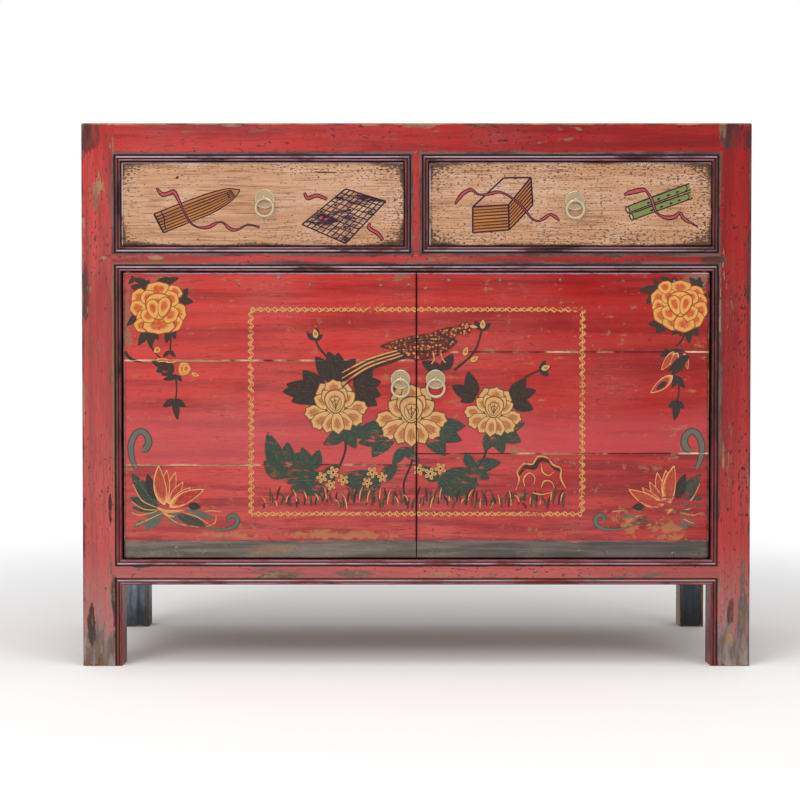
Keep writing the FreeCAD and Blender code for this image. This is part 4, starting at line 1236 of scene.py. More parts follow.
TOP_RIGHT_SPRAYS = (
    ((384, 600), ((352, 596), (375, 614), (364, 575)), 7),
    ((404, 608), ((386, 618), (408, 618), (414, 614)), 5),
    ((446, 604), ((432, 617), (448, 618), (460, 606)), 5),
    ((453, 584), ((460, 553), (460, 592), (455, 566)), 4.5),
    ((394, 546), ((366, 543), (380, 528), (392, 531)), 6.5),
    ((412, 540), ((405, 525), (420, 524)), 4.5),
    ((432, 540), ((447, 524), (432, 512), (450, 538)), 6),
    ((413, 461), ((405, 442), (426, 441), (398, 452)), 5),
    ((413, 421), ((399, 411), (425, 409), (409, 390)), 6),
    ((400, 500), ((386, 492), (392, 503), (428, 498)), 4.5),
)


def draw_top_left(shapes):
    """A peony with its leaves and hanging stem in the upper left corner."""
    for base, tips, width in TOP_LEFT_SPRAYS:
        spray(shapes, "dark_leaf", base, tips, width)
    for knots, widths in (
        (((-389, 522), (-389.5, 510), (-390, 498)), (1.4, 1.2, 1.6)),
        (((-381, 458), (-380, 440), (-382, 420)), (1.8, 1.1, 1.4)),
        (((-462, 499), (-452, 488), (-433, 482)), (2.4, 2.4, 0.6)),
        (((-424, 520), (-420, 508), (-413, 497), (-406, 490)), (1.6, 2, 1.4, 1)),
    ):
        shapes.stroke("dark_stroke", knots, widths)
    bud = (
        (-368, 472, 60, 12, 11, 3), (-371, 471, 100, 8, 6, 0), (-365, 472, 60, 8, 6, 0),
        (-411, 502, 40, 6, 5, 3),
    )
    petals(shapes, "orange_petal", TOP_LEFT_PEONY + bud)
    leaf(shapes, "orange_petal", (-357, 465), (-344, 461), 3)
    petals(shapes, "orange_petal", ((-402, 486, 180, 12, 3, 0), (-389, 484, 180, 10, 2.5, 0)))


def draw_top_right(shapes):
    """A peony with its leaves, a hanging bud and stem in the upper right corner."""
    for base, tips, width in TOP_RIGHT_SPRAYS:
        spray(shapes, "dark_leaf", base, tips, width)
    shapes.stroke("dark_stroke", ((425, 530), (420, 517), (411, 508)), (1.8, 1.3, 1.6))
    shapes.stroke("dark_stroke", ((416, 452), (416, 435), (413, 419)), (1.5, 1.1, 1.6))
    petals(shapes, "orange_petal", TOP_RIGHT_PEONY)
    for base, tip, width in (
        ((408, 500), (388, 470), 6), ((406, 462), (371, 434), 8),
        ((424, 497), (430, 472), 4), ((414, 498), (403, 478), 5),
    ):
        leaf(shapes, "lotus_petal", base, tip, width, 0.12)
    for base, tip, width in (
        ((432, 494), (398, 468), 7), ((426, 486), (404, 462), 6), ((396, 452), (380, 439), 4),
    ):
        leaf(shapes, "dark_leaf", base, tip, width)


# Base and tip of each lotus petal, from the back to the front, and its half width
LOTUS_PETALS = (
    ((-394, 258), (-382, 308), 7.5), ((-399, 258), (-396, 312), 7.5), ((-392, 256), (-370, 293), 6.5),
    ((-391, 255), (-358, 284), 6), ((-400, 256), (-409, 319), 10), ((-392, 253), (-337, 281), 9.5),
)


def draw_lotus(shapes, way):
    """The lotus, leaves and comma scrolls of a lower corner; way 1 is the left corner and -1 the right."""

    def at(*knots):
        return [(x * way, z) for x, z in knots]

    scroll = at(
        (-444, 313), (-451, 330), (-453, 351), (-446, 368), (-436, 373), (-427, 366), (-425, 354),
        (-430, 345), (-436, 343),
    )
    shapes.stroke("scroll_stroke", scroll, (3, 4.6, 5.4, 5.6, 5.2, 5.6, 6.2, 6, 2.5), 40)
    leaves = (
        ("green_leaf", (-413, 256), (-452, 306), 12), ("dark_leaf", (-414, 266), (-427, 306), 8),
        ("green_leaf", (-408, 252), (-455, 268), 9), ("green_leaf", (-410, 250), (-452, 252), 6),
        ("grey_leaf", (-404, 246), (-449, 221), 8), ("grey_leaf", (-402, 243), (-432, 216), 7),
        ("grey_leaf", (-398, 242), (-352, 222), 9), ("green_leaf", (-380, 240), (-334, 222), 8),
        ("grey_leaf", (-370, 246), (-322, 236), 6), ("dark_leaf", (-362, 255), (-342, 252), 6),
    )
    for paint, base, tip, width in leaves:
        leaf(shapes, paint, *at(base, tip), width, 0.1)
    for knots in (
        ((-412, 252), (-436, 264), (-450, 290)), ((-410, 248), (-434, 250), (-452, 262)),
        ((-404, 243), (-428, 232), (-446, 224)), ((-398, 240), (-376, 226), (-345, 221)),
        ((-372, 244), (-350, 238), (-330, 226)), ((-412, 246), (-438, 240), (-452, 244)),
        ((-335, 246), (-325, 247), (-310, 245)), ((-318, 240), (-320, 228), (-334, 222)),
    ):
        shapes.stroke("gold_stroke", at(*knots), (0.6, 1.1, 0.6))
    hook = at(
        (-338, 221), (-318, 217), (-298, 218), (-287, 224), (-284, 233), (-291, 240), (-298, 236), (-296, 230)
    )
    shapes.stroke("scroll_stroke", hook, (1, 2, 3, 4, 4.4, 4, 4, 2), 32)
    for base, tip, width in LOTUS_PETALS:
        leaf(shapes, "lotus_petal", *at(base, tip), width, 0.16 if tip[0] > -400 else 0.3)
    for knots, widths in (
        (((-411, 252), (-396, 246), (-370, 247)), (2, 3.4, 1.5)),
        (((-404, 248), (-396, 240), (-384, 238)), (2, 2.4, 1)),
    ):
        shapes.stroke("gold_stroke", at(*knots), widths)


def wave_knots(start, end, phase, offset, scatter):
    """Knots of a wavy line between two points, moved aside by an offset."""
    length = math.dist(start, end)
    run_x, run_z = (end[0] - start[0]) / length, (end[1] - start[1]) / length
    knots = []
    for number in range(round(length / BORDER_WAVE * 6) + 1):
        along = min(number * BORDER_WAVE / 6, length)
        swing = BORDER_SWING * math.sin(math.tau * along / BORDER_WAVE + phase)
        swing += offset + scatter.uniform(-0.6, 0.6)
        knots.append((start[0] + run_x * along - run_z * swing, start[1] + run_z * along + run_x * swing))
    return knots


def draw_border(shapes):
    """The twisted frame round the middle picture."""
    corners = [(BORDER_LEFT, BORDER_TOP), (BORDER_RIGHT, BORDER_TOP)]
    corners += [(BORDER_RIGHT, BORDER_LOW), (BORDER_LEFT, BORDER_LOW)]
    for number, start in enumerate(corners):
        end = corners[(number + 1) % 4]
        upright = start[0] == end[0]
        strands = ((0, 1.7), (0, -1.7)) if upright else ((0, 0.8), (math.pi * 0.8, -0.8))
        for phase, offset in strands:
            knots = wave_knots(start, end, phase, offset, shapes.random)
            widths = [1.15 + 0.4 * math.sin(place) for place in range(len(knots))]
            shapes.stroke("gold_stroke", knots, widths, len(knots) * 2)


# Petals of the middle picture's peonies from the back to the front: angle, how far out the petal lies,
# its half length and half width as shares of the flower's size, and its scallops
TREE_PEONY = (
    (62, 0.5, 0.5, 0.36, 3), (118, 0.5, 0.5, 0.36, 3), (90, 0.6, 0.38, 0.34, 4),
    (188, 0.74, 0.4, 0.26, 4), (-8, 0.74, 0.4, 0.26, 4), (216, 0.68, 0.42, 0.28, 4),
    (-36, 0.68, 0.42, 0.28, 4), (244, 0.58, 0.4, 0.25, 3), (296, 0.58, 0.4, 0.25, 3),
    (270, 0.56, 0.42, 0.24, 3), (150, 0.4, 0.44, 0.28, 2), (30, 0.4, 0.44, 0.28, 2),
    (122, 0.34, 0.4, 0.24, 2), (58, 0.34, 0.4, 0.24, 2), (180, 0.12, 0.2, 0.2, 0),
    (0, 0.12, 0.2, 0.2, 0), (90, 0.18, 0.42, 0.36, 0), (90, 0.1, 0.26, 0.22, 0),
    (70, 0.06, 0.16, 0.12, 0),
)


def tree_peony(shapes, x, z, size, turn=0):
    """A large cream peony of the middle picture: a bowl between wing petals and a hanging fringe."""
    for angle, reach, length, width, scallops in TREE_PEONY:
        way = math.radians(angle + turn)
        middle = (x + size * reach * math.cos(way), z + size * reach * math.sin(way))
        place = turned(*middle, angle + turn, size * length, size * width)
        shapes.blot("cream_petal", place, petal_outline(scallops, 0.16), 40)
    for angle in (60, 90, 120):
        way = math.radians(angle + turn)
        tip = (x + size * 0.3 * math.cos(way), z + size * 0.3 * math.sin(way))
        shapes.stroke("dark_stroke", ((x, z - size * 0.08), tip), (0.4, 0.7), 6)


def blossom(shapes, x, z, size, turn):
    """A small five-petalled flower with a dark heart."""
    for number in range(5):
        angle = turn + number * 72
        way = math.radians(angle)
        reach = size * 0.55
        heart_x, heart_z = x + reach * math.cos(way), z + reach * math.sin(way)
        place = turned(heart_x, heart_z, angle, size * 0.5, size * 0.3)
        shapes.blot("cream_petal", place, petal_outline(0), 12)
    shapes.blot("dark_leaf", turned(x, z, 0, size * 0.2), oval_outline, 10)


PICTURE_SPRAYS = (
    ((-146, 436), ((-206, 448), (-198, 420), (-180, 470), (-212, 436), (-176, 416)), 15),
    ((-126, 452), ((-160, 492), (-124, 498), (-96, 488), (-140, 500)), 13),
    ((-98, 440), ((-56, 452), (-70, 474), (-56, 430), (-62, 414)), 13),
    ((-110, 376), ((-148, 352), (-96, 346), (-72, 366)), 11),
    ((-36, 376), ((-92, 354), (-70, 332), (-50, 388), (-96, 372)), 15),
    ((22, 376), ((72, 358), (46, 334), (78, 382), (28, 340)), 14),
    ((94, 428), ((56, 446), (70, 420), (82, 468), (62, 434)), 11),
    ((150, 424), ((190, 438), (186, 408), (174, 456)), 11),
    ((126, 374), ((166, 356), (138, 338), (172, 386), (108, 342)), 13),
    ((40, 470), ((8, 484), (58, 496), (20, 458)), 9),
    ((-210, 300), ((-236, 372), (-204, 356), (-242, 326), (-186, 340)), 15),
    ((-166, 312), ((-182, 348), (-154, 344), (-200, 318)), 10),
    ((-146, 296), ((-224, 306), (-200, 280), (-122, 320), (-206, 294), (-176, 272)), 16),
    ((-56, 296), ((-122, 302), (-96, 274), (-30, 318), (-112, 288)), 15),
    ((36, 296), ((104, 304), (82, 274), (8, 318), (100, 288), (60, 268)), 15),
    ((90, 314), ((134, 324), (116, 298), (78, 340)), 11),
    ((-20, 348), ((-38, 320), (6, 324)), 8),
)


def draw_bird(shapes):
    """A long-tailed bird that sits above the flowers and looks to the right."""
    for number in range(6):
        lift = number * 3.2
        tail = ((18, 508 - lift * 0.3), (-30, 500 - lift * 0.8), (-78, 486 - lift), (-118, 466 - lift * 1.4))
        shapes.stroke("dark_stroke" if number % 2 else "gold_stroke", tail, (2.6, 2.6, 2.2, 0.7), 30)
    leaf(shapes, "feather", (-30, 502), (66, 516), 19, -0.1)
    leaf(shapes, "feather", (6, 500), (72, 538), 15, 0.05)
    shapes.blot("feather", turned(76, 536, 20, 12, 10), oval_outline)
    leaf(shapes, "gold_leaf", (85, 540), (97, 538), 2.4)
    leaf(shapes, "feather", (58, 520), (-58, 508), 13, 0.12)
    for start, end in (((50, 522), (-40, 512)), ((46, 517), (-48, 506)), ((40, 512), (-34, 502))):
        middle = ((start[0] + end[0]) / 2, start[1] - 1)
        shapes.stroke("dark_stroke", (start, middle, end), (0.6, 1.1, 0.4), 16)
    shapes.blot("gold_leaf", turned(79, 539, 0, 2.2), oval_outline, 12)
    shapes.blot("dark_leaf", turned(79.3, 539, 0, 1.1), oval_outline, 10)
    shapes.stroke("gold_stroke", ((26, 500), (28, 488), (24, 480)), (1.4, 1, 1.2), 12)
    shapes.stroke("gold_stroke", ((38, 501), (41, 489), (46, 482)), (1.4, 1, 1.2), 12)


def draw_branches(shapes):
    """The stems, leaves and buds of the middle picture."""
    for knots in (
        ((-128, 390), (-112, 350), (-130, 300), (-150, 262)), ((-8, 372), (-6, 330), (-20, 290), (-16, 256)),
        ((122, 380), (110, 340), (96, 300), (88, 262)), ((-118, 470), (-150, 500), (-160, 520)),
        ((60, 470), (92, 500), (104, 536)), ((150, 440), (178, 462), (196, 470)),
    ):
        shapes.stroke("dark_stroke", knots, (2.2, 1.7, 1.5, 1.6))
    for base, tips, width in PICTURE_SPRAYS:
        spray(shapes, "dark_leaf" if base[1] > 390 else "green_leaf", base, tips, width)
    for base, tips in (
        ((-160, 518), ((-174, 532), (-158, 538), (-148, 526))),
        ((104, 534), ((92, 548), (106, 552), (118, 544))),
        ((196, 468), ((214, 476), (204, 486), (210, 462))),
    ):
        spray(shapes, "dark_leaf", base, tips, 5)
    for x, z, angle in ((-160, 528, 100), (105, 543, 85), (205, 474, 20), (78, 500, 70), (92, 488, 30)):
        shapes.blot("cream_petal", turned(x, z, angle, 8, 4.5), leaf_outline())


def draw_grass(shapes, scatter):
    """Blades of grass along the foot of the middle picture."""
    for number in range(120):
        x = -240 + number * 4 + scatter.uniform(-3, 3)
        z = 254 + scatter.uniform(-4, 12)
        lean = scatter.uniform(-9, 9)
        paint = ("dark_stroke", "gold_stroke", "grass_stroke", "grass_stroke")[number % 4]
        height = scatter.uniform(8, 26)
        blade = ((x, z), (x + lean * 0.3, z + height * 0.6), (x + lean, z + height))
        shapes.stroke(paint, blade, (0.9, 1.3, 0.3), 6)


def draw_rock(shapes):
    """A hollowed garden rock, drawn in gold and shaded on one side."""
    rock = (
        (158, 280), (163, 297), (160, 309), (171, 322), (184, 321), (193, 333), (208, 331), (217, 320),
        (229, 314), (229, 299), (237, 283),
    )
    shapes.stroke("dark_stroke", [(x + 3, z - 5) for x, z in rock[2:9]], (1, 2.6, 3.4, 2.2, 3.2, 2.6, 1), 40)
    shapes.stroke("gold_stroke", rock, (0.8, 1.8, 1.2, 2, 1.3, 2, 1.4, 2, 1.1, 1.8, 0.8), 60)
    for knots in (
        ((172, 286), (170, 298), (179, 307), (188, 300), (186, 289)),
        ((198, 322), (200, 309), (210, 303), (218, 309)), ((198, 284), (203, 294), (214, 293), (219, 283)),
        ((184, 276), (198, 273), (214, 276)),
    ):
        shapes.stroke("gold_stroke", knots, (0.7, 1.5, 0.9, 0.6), 20)


def draw_picture(shapes):
    """The middle picture: peonies, buds, small flowers, grass and a rock."""
    draw_branches(shapes)
    tree_peony(shapes, -128, 412, 46, 6)
    tree_peony(shapes, 122, 404, 42, -8)
    tree_peony(shapes, -8, 398, 52)
    scatter = random.Random(11)
    for x, z in (
        (-150, 300), (-132, 308), (-116, 296), (-136, 288), (-70, 308), (-54, 300), (-78, 292), (4, 312),
        (22, 306), (38, 314),
    ):
        blossom(shapes, x, z, scatter.uniform(8, 10), scatter.uniform(0, 72))
    draw_grass(shapes, scatter)
    draw_rock(shapes)


def draw_ribbon(shapes, knots, widths, pieces=80):
    """A ribbon: an ink stroke, and a narrower red one on it."""
    shapes.stroke("ink_stroke", knots, [width + 0.7 for width in widths], pieces)
    shapes.stroke("ribbon_stroke", knots, [max(width - 0.8, 0.1) for width in widths], pieces)


def draw_outline(shapes, knots, width=1.2, closed=True):
    """Ink lines from each knot to the next."""
    line = [*knots, knots[0]] if closed else knots
    for start, end in zip(line, line[1:]):
        shapes.stroke("ink_stroke", (start, end), (width, width), 4)


def draw_zither(shapes):
    """A zither with a ribbon."""
    top = ((-415, 717), (-372, 734), (-339, 746), (-309, 755), (-294, 757), (-279, 755))
    bottom = ((-400, 687.5), (-357, 704.5), (-323, 718.5), (-299, 733), (-285, 745), (-279, 755))
    for start in range(5):
        shapes.patch("zither_patch", (bottom[start], bottom[start + 1], top[start + 1], top[start]))
    for share in (0.0, 0.12, 0.26, 0.4, 0.54, 0.68, 0.82, 1.0):
        knots = [tuple(a + (b - a) * share for a, b in zip(low, high)) for low, high in zip(bottom, top)]
        if 0 < share < 1:
            knots = knots[:-1]
        shapes.stroke("ink_stroke", knots, (1.1, 0.8, 1, 0.8, 0.9), 30)
    draw_outline(shapes, (top[0], bottom[0]), 1.5, False)
    draw_outline(shapes, ((-404, 721), (-399, 712), (-397, 692)), 0.9, False)
    shapes.stroke("ink_stroke", ((-302, 750), (-296, 747), (-298, 740)), (0.5, 0.9, 0.5), 10)
    shapes.stroke("ink_stroke", ((-161, 783.4), (-144, 782.6), (-126, 782.4)), (0.7, 1, 0.6), 8)
    shapes.blot("ink_blot", turned(-378, 774.6, 30, 3, 1.8), leaf_outline(), 12)
    ribbon = (
        (-411, 758), (-402, 748), (-393, 749), (-384, 752), (-378, 743), (-371, 728), (-364, 714),
        (-357, 703), (-345, 696), (-330, 696), (-321, 700), (-313, 704), (-305, 703), (-298, 696),
        (-290, 692), (-281, 693), (-269, 699.5), (-258, 699), (-248, 696),
    )
    widths = (0.8, 3.2, 3, 3.4, 2.4, 1.2, 1.2, 1, 1, 2.4, 2.4, 0.8, 1, 2.2, 2.4, 1.2, 0.7, 0.9, 1.4)
    draw_ribbon(shapes, ribbon, widths, 90)


def draw_game_board(shapes):
    """A board for the game of go, drawn as a net of lines, with a ribbon."""
    left, top, right, bottom = (-181, 700.5), (-112, 756.5), (-48.5, 737), (-112, 670.5)

    def at(u, v):
        near = [a * (1 - u) + d * u for a, d in zip(left, bottom)]
        far = [b * (1 - u) + c * u for b, c in zip(top, right)]
        return tuple(a * (1 - v) + b * v for a, b in zip(near, far))

    for ends in (
        ((-177, 751), (-172, 742), (-157, 746), (-141, 740)),
        ((-73, 703), (-75, 695), (-61, 686), (-53, 675)),
    ):
        draw_ribbon(shapes, ends, (1.2, 2.6, 2.8, 1.8), 24)
    shapes.patch("smudge_patch", (left, bottom, right, top))
    cells = 9
    for number in range(cells + 1):
        share = number / cells
        width = 1.2 if number in (0, cells) else 0.95
        widths = (width, width * 0.8, width)
        shapes.stroke("ink_stroke", (at(share, 0), at(share, 0.5), at(share, 1)), widths, 12)
        shapes.stroke("ink_stroke", (at(0, share), at(0.5, share), at(1, share)), widths, 12)
    scatter = random.Random(5)
    for number in range(15):
        u, v = (scatter.randrange(cells) + 0.5) / cells, (scatter.randrange(cells) + 0.5) / cells
        paint = ("ink_blot", "ink_blot", "red_blot")[number % 3]
        shapes.blot(paint, turned(*at(u, v), 20, scatter.uniform(2, 3.4), 2), oval_outline, 10)


def draw_books(shapes):
    """A stack of books seen from a corner, tied with a ribbon; their covers stay bare."""
    front = ((89, 687.5), (146.5, 692), (145.5, 731.5), (89, 728))
    side = ((146.5, 692), (184, 731.5), (181, 774.5), (145.5, 731.5))
    cover = ((89, 728), (145.5, 731.5), (181, 774.5), (138, 774))
    shapes.patch("page_patch", front)
    shapes.patch("page_patch", side)
    for corners in (front, side, cover):
        draw_outline(shapes, corners, 1.3)
    for corners, count in ((front, 8), (side, 7)):
        for number in range(1, count):
            share = number / count
            start = tuple(a + (d - a) * share for a, d in zip(corners[0], corners[3]))
            end = tuple(b + (c - b) * share for b, c in zip(corners[1], corners[2]))
            shapes.stroke("ink_stroke", (start, end), (0.8, 1.1), 8)
    ribbon = (
        (61, 732), (68, 743), (76, 751), (87, 755), (98, 748), (112, 748), (124, 751), (134, 751), (148, 744),
        (164, 732), (175, 719), (183, 709), (194, 706), (203, 711), (211, 716), (219, 713), (226, 706),
    )
    widths = (0.8, 2.6, 2.8, 2, 1, 1.6, 2.2, 1.4, 1.2, 1.4, 1.4, 1, 1.2, 2.4, 1.6, 2.4, 0.8)
    draw_ribbon(shapes, ribbon, widths)


def draw_scrolls(shapes):
    """Two rolled pictures tied with a ribbon."""
    for start, end in (((334, 723.5), (432, 760)), ((340, 712.5), (435, 746.5))):
        shapes.stroke("green_stroke", (start, end), (5.4, 5.4), 24)
        for over in (5.2, -5.2):
            (x, z), (far_x, far_z) = [(x - over * 0.35, z + over * 0.94) for x, z in (start, end)]
            middle = ((x + far_x) / 2, (z + far_z) / 2 + 0.5)
            shapes.stroke("ink_stroke", ((x, z), middle, (far_x, far_z)), (0.7, 1, 0.8), 16)
        for share in (0.34, 0.5, 0.66, 0.8):
            x, z = (a + (b - a) * share for a, b in zip(start, end))
            shapes.blot("ink_blot", turned(x, z - 1, 20, 3.2, 1.6), leaf_outline(), 12)
        shapes.blot("ink_blot", turned(*start, 110, 6.4, 3.6), oval_outline, 16)
        shapes.blot("cream_blot", turned(*start, 110, 4, 1.5), oval_outline, 12)
        curl = [(end[0] + aside, end[1] + up) for aside, up in ((-8, -9), (-4, -3), (-7, 3))]
        shapes.stroke("ink_stroke", curl, (0.8, 0.8, 0.8), 8)
    ribbon = (
        (328, 747), (335, 750), (347, 753), (358, 755), (364, 752), (370, 743), (374, 734), (377, 724),
        (383, 716), (397, 711), (409, 713), (416, 719), (421, 712), (428, 706), (436, 702), (445, 697),
    )
    widths = (1, 3, 3.6, 3.2, 1.2, 2, 2.2, 1.6, 1.2, 3, 3, 1.4, 2.2, 2.4, 0.8, 0.8)
    draw_ribbon(shapes, ribbon, widths)


def door_ornament(side):
    """All ornament on one door."""
    way = -1 if side == "left" else 1
    seams = door_seams(side)
    shapes = PaintedShapes(door_face, Paints(f"{side}_door", lambda finish: door_ground(finish, seams, way)))
    if side == "left":
        draw_top_left(shapes)
    else:
        draw_top_right(shapes)
    draw_lotus(shapes, -way)
    draw_border(shapes)
    draw_picture(shapes)
    draw_bird(shapes)
    shapes.join_sheets()
    shapes.cut((way * DOOR_GAP_HALF, 0, 0), (-way, 0, 0))
    shapes.cut((0, 0, foot_board_top + SEAM_HALF), (0, 0, -1))
    shapes.open_seams(seams[1:], SEAM_HALF)
    shapes.build(f"{side}_door_ornament", f"{side}_door")


class CABINET_OT_lacquer(bpy.types.Operator):
    """Lacquers the frame, the panels, the top and the doors"""

    bl_idname = "cabinet.lacquer"
    bl_label = "Lacquer"

    def execute(self, context):
        beaded = ("front_post_left", "front_post_right", "front_bottom_rail", "front_middle_rail")
        beaded += ("front_top_rail", "drawer_divider")
        upright = ("front_post_left", "front_post_right", "drawer_divider")
        upright += ("side_panels_left", "side_panels_right")
        lengthwise = ("side_rails_left", "side_rails_right")
        for node, slot in node_slots().items():
            if slot != "red_lacquer":
                continue
            if "_door_" in node:
                side, piece = node.split("_door_")
                material = door_lacquer(side, piece)
            else:
                along = "z" if node in upright else "y" if node in lengthwise else "x"
                material = frame_lacquer(f"{node}_lacquer", node_box(node), along, node in beaded)
            dress(node, material)
        return {"FINISHED"}


def dress(node, material):
    """Puts a material on a CAD node."""
    for slot in frame["nodes"][node].material_slots:
        slot.material = material


class CABINET_OT_paint(bpy.types.Operator):
    """Paints the drawer fronts, the foot boards and the rear posts"""

    bl_idname = "cabinet.paint"
    bl_label = "Paint"

    def execute(self, context):
        for side in ("left", "right"):
            dress(f"{side}_drawer_front", drawer_paint(side))
            dress(f"{side}_door_foot_board", foot_paint(side))
            post = f"rear_post_{side}"
            dress(post, leg_paint(f"{post}_paint", node_box(post)))
        return {"FINISHED"}


class CABINET_OT_wood(bpy.types.Operator):
    """Gives the inside and the back their aged wood"""

    bl_idname = "cabinet.wood"
    bl_label = "Bare Wood"

    def execute(self, context):
        crosswise = ("battens", "bearers", "runners", "guides", "kickers", "drawer_sides")
        for node, slot in node_slots().items():
            if slot != "bare_wood":
                continue
            kind = RAIL_WOOD
            if node == "back_boards":
                kind = BACK_WOOD
            elif node.endswith(crosswise) and "door" not in node:
                kind = CROSSWISE_WOOD
            elif node.endswith(("boards", "bottom")):
                kind = BOARD_WOOD
            dress(node, plain_wood(node, *kind))
        dress("joint_pegs", peg_ends())
        return {"FINISHED"}


class CABINET_OT_brass(bpy.types.Operator):
    """Gives the pulls their old brass"""

    bl_idname = "cabinet.brass"
    bl_label = "Brass"

    def execute(self, context):
        shared = {"eye": old_brass("brass_eye", 1.0), "ring": old_brass("brass_ring", 0.7)}
        for node, slot in node_slots().items():
            if slot == "brass":
                kind = node.rsplit("_", 1)[1]
                dress(node, shared.get(kind) or old_brass(f"{node}_brass", 0.3, node_box(node)))
        return {"FINISHED"}


class CABINET_OT_door_ornament(bpy.types.Operator):
    """Paints flowers, lotus corners, the border and the middle picture on the doors"""

    bl_idname = "cabinet.door_ornament"
    bl_label = "Door Ornament"

    def execute(self, context):
        for side in ("left", "right"):
            door_ornament(side)
        return {"FINISHED"}


class CABINET_OT_drawer_ornament(bpy.types.Operator):
    """Paints a zither, a game board, books and scrolls on the drawer fronts"""

    bl_idname = "cabinet.drawer_ornament"
    bl_label = "Drawer Ornament"

    def execute(self, context):
        for side, motifs in (("left", (draw_zither, draw_game_board)), ("right", (draw_books, draw_scrolls))):
            box = node_box(f"{side}_drawer_front")
            paints = Paints(f"{side}_drawer", lambda finish, box=box: drawer_ground(finish, box))
            shapes = PaintedShapes(drawer_face, paints)
            for draw in motifs:
                draw(shapes)
            shapes.join_sheets()
            shapes.build(f"{side}_drawer_ornament", f"{side}_drawer")
        return {"FINISHED"}


# Places of the nails in the doors' boards
LEFT_NAILS = (
    (-281, 605), (-218, 616), (-167, 605), (-56.5, 605), (-12.5, 605), (-381, 188), (-190, 186), (-45, 187),
)
RIGHT_NAILS = (
    (14.7, 600), (50.8, 613), (131.9, 613), (228.4, 613), (326.6, 611), (407.3, 611), (455.8, 605),
    (258.5, 183.7), (300.6, 180.6), (408, 179),
)


# How high a nail's head stands, as a share of its radius
NAIL_HEIGHT = 0.32


class CABINET_OT_nails(bpy.types.Operator):
    """Puts iron nail heads on the door boards"""

    bl_idname = "cabinet.nails"
    bl_label = "Nails"

    def execute(self, context):
        iron = nail_iron()
        for side, places in (("left", LEFT_NAILS), ("right", RIGHT_NAILS)):
            mesh = bmesh.new()
            scatter = random.Random(7)
            for x, z in places:
                radius = ornament_settings().nail_radius * scatter.uniform(0.8, 1.1)
                ball = bmesh.ops.create_uvsphere(mesh, u_segments=14, v_segments=8, radius=radius)["verts"]
                bmesh.ops.scale(mesh, vec=(1, NAIL_HEIGHT, scatter.uniform(0.8, 1)), verts=ball)
                bmesh.ops.translate(mesh, vec=(x * MM, door_face, z * MM), verts=ball)
            make_piece(f"{side}_door_nails", mesh, [iron], f"{side}_door")
        return {"FINISHED"}


class CABINET_OT_stage(bpy.types.Operator):
    """Sets the floor, the light and the camera"""

    bl_idname = "cabinet.stage"
    bl_label = "Stage"

    def execute(self, context):
        scene = context.scene
        stage = scene.cabinet_stage
        scene.view_settings.view_transform = "Standard"
        add_floor()
        add_world(scene, stage.world_level)
        for name, place, size, share in LAMPS:
            add_lamp(name, place, size, stage.lamp_power * share)
        camera = bpy.data.objects.new("camera", bpy.data.cameras.new("camera"))
        scene.collection.objects.link(camera)
        camera.data.lens = stage.camera_lens
        camera.location = (stage.camera_side, frame_front - stage.camera_distance, stage.camera_height)
        camera.rotation_euler = (math.pi / 2 - stage.camera_drop, 0, 0)
        scene.camera = camera
        return {"FINISHED"}


def seen_directly(tree):
    """1 for rays that show a surface to the camera, and 0 for the rays that light other things."""
    rays = tree.nodes.new("ShaderNodeLightPath")
    total = Field(tree, rays.outputs["Is Camera Ray"])
    for kind in ("Is Glossy Ray", "Is Transmission Ray"):
        total = total.greatest(Field(tree, rays.outputs[kind]))
    return total


def add_floor():
    """A pale floor that keeps the cabinet's shadow."""
    mesh = bmesh.new()
    bmesh.ops.create_grid(mesh, x_segments=1, y_segments=1, size=FLOOR_HALF)
    data = bpy.data.meshes.new("floor")
    mesh.to_mesh(data)
    mesh.free()
    floor = bpy.data.objects.new("floor", data)
    bpy.context.scene.collection.objects.link(floor)
    finish = Finish("floor_white", {"Roughness": 0.9, "Specular IOR Level": 0.0})
    soft = finish.noise(finish.point, 3, 2)
    feed(finish.shader.inputs["Base Color"], finish.blend(soft * 0.03, 0xFAFAFA, 0xF2F2F2))
    far = (finish.x * finish.x + finish.y * finish.y).root().rise(FADE_START, FADE_END)
    glow = finish.add("Emission", {"Color": (1, 1, 1), "Strength": 1.0})
    mixed = finish.add("MixShader", {0: far * seen_directly(finish.tree)})
    finish.tree.links.new(finish.shader.outputs[0], mixed.inputs[1])
    finish.tree.links.new(glow.outputs[0], mixed.inputs[2])
    finish.tree.links.new(mixed.outputs[0], finish.tree.nodes["Material Output"].inputs[0])
    data.materials.append(finish.material)


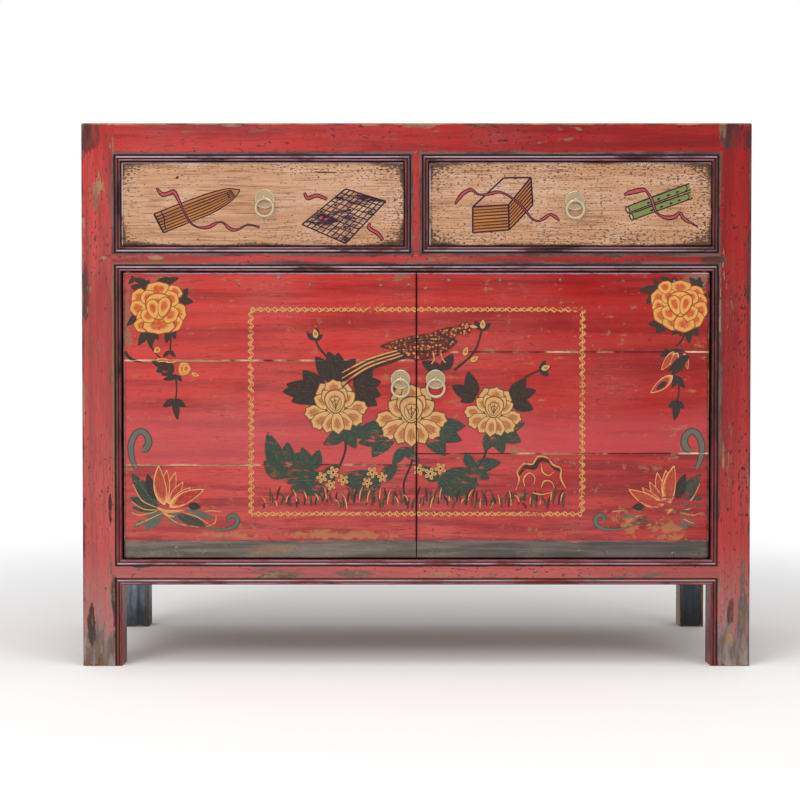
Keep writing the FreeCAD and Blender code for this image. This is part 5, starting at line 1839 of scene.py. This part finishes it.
def add_world(scene, level):
    """Even light from all round, which looks white."""
    world = bpy.data.worlds.new("studio")
    world.use_nodes = True
    scene.world = world
    tree = world.node_tree
    background = tree.nodes["Background"]
    feed(background.inputs["Color"], (1, 1, 1))
    feed(background.inputs["Strength"], seen_directly(tree) * (1 - level) + level)


def add_lamp(name, place, size, power):
    """A square soft lamp that looks at the cabinet's middle."""
    light = bpy.data.lights.new(name, "AREA")
    light.size = size
    light.energy = power
    lamp = bpy.data.objects.new(name, light)
    bpy.context.scene.collection.objects.link(lamp)
    lamp.location = place
    aim = Vector((0, 0, frame_top / 2)) - lamp.location
    lamp.rotation_euler = aim.to_track_quat("-Z", "Y").to_euler()


OPERATORS = (
    CABINET_OT_lacquer,
    CABINET_OT_paint,
    CABINET_OT_wood,
    CABINET_OT_brass,
    CABINET_OT_nails,
    CABINET_OT_door_ornament,
    CABINET_OT_drawer_ornament,
    CABINET_OT_stage,
)


class CABINET_PT_parts(bpy.types.Panel):
    """Lists the cabinet's steps in the sidebar"""

    bl_label = "Painted Cabinet"
    bl_idname = "CABINET_PT_parts"
    bl_space_type = "VIEW_3D"
    bl_region_type = "UI"
    bl_category = "Cabinet"

    def draw(self, context):
        for operator in OPERATORS:
            self.layout.operator(operator.bl_idname)


SETTINGS = {
    "cabinet_finish": CabinetFinishSettings,
    "cabinet_ornament": CabinetOrnamentSettings,
    "cabinet_stage": CabinetStageSettings,
}


def register():
    for group in SETTINGS.values():
        bpy.utils.register_class(group)
    for name, group in SETTINGS.items():
        setattr(bpy.types.Scene, name, bpy.props.PointerProperty(type=group))
    for kind in (*OPERATORS, CABINET_PT_parts):
        bpy.utils.register_class(kind)


def unregister():
    for kind in (CABINET_PT_parts, *reversed(OPERATORS)):
        bpy.utils.unregister_class(kind)
    for name, group in SETTINGS.items():
        delattr(bpy.types.Scene, name)
        bpy.utils.unregister_class(group)


def main():
    register()
    for operator in OPERATORS:
        group, name = operator.bl_idname.split(".")
        getattr(getattr(bpy.ops, group), name)()


if __name__ == "__main__":
    main()
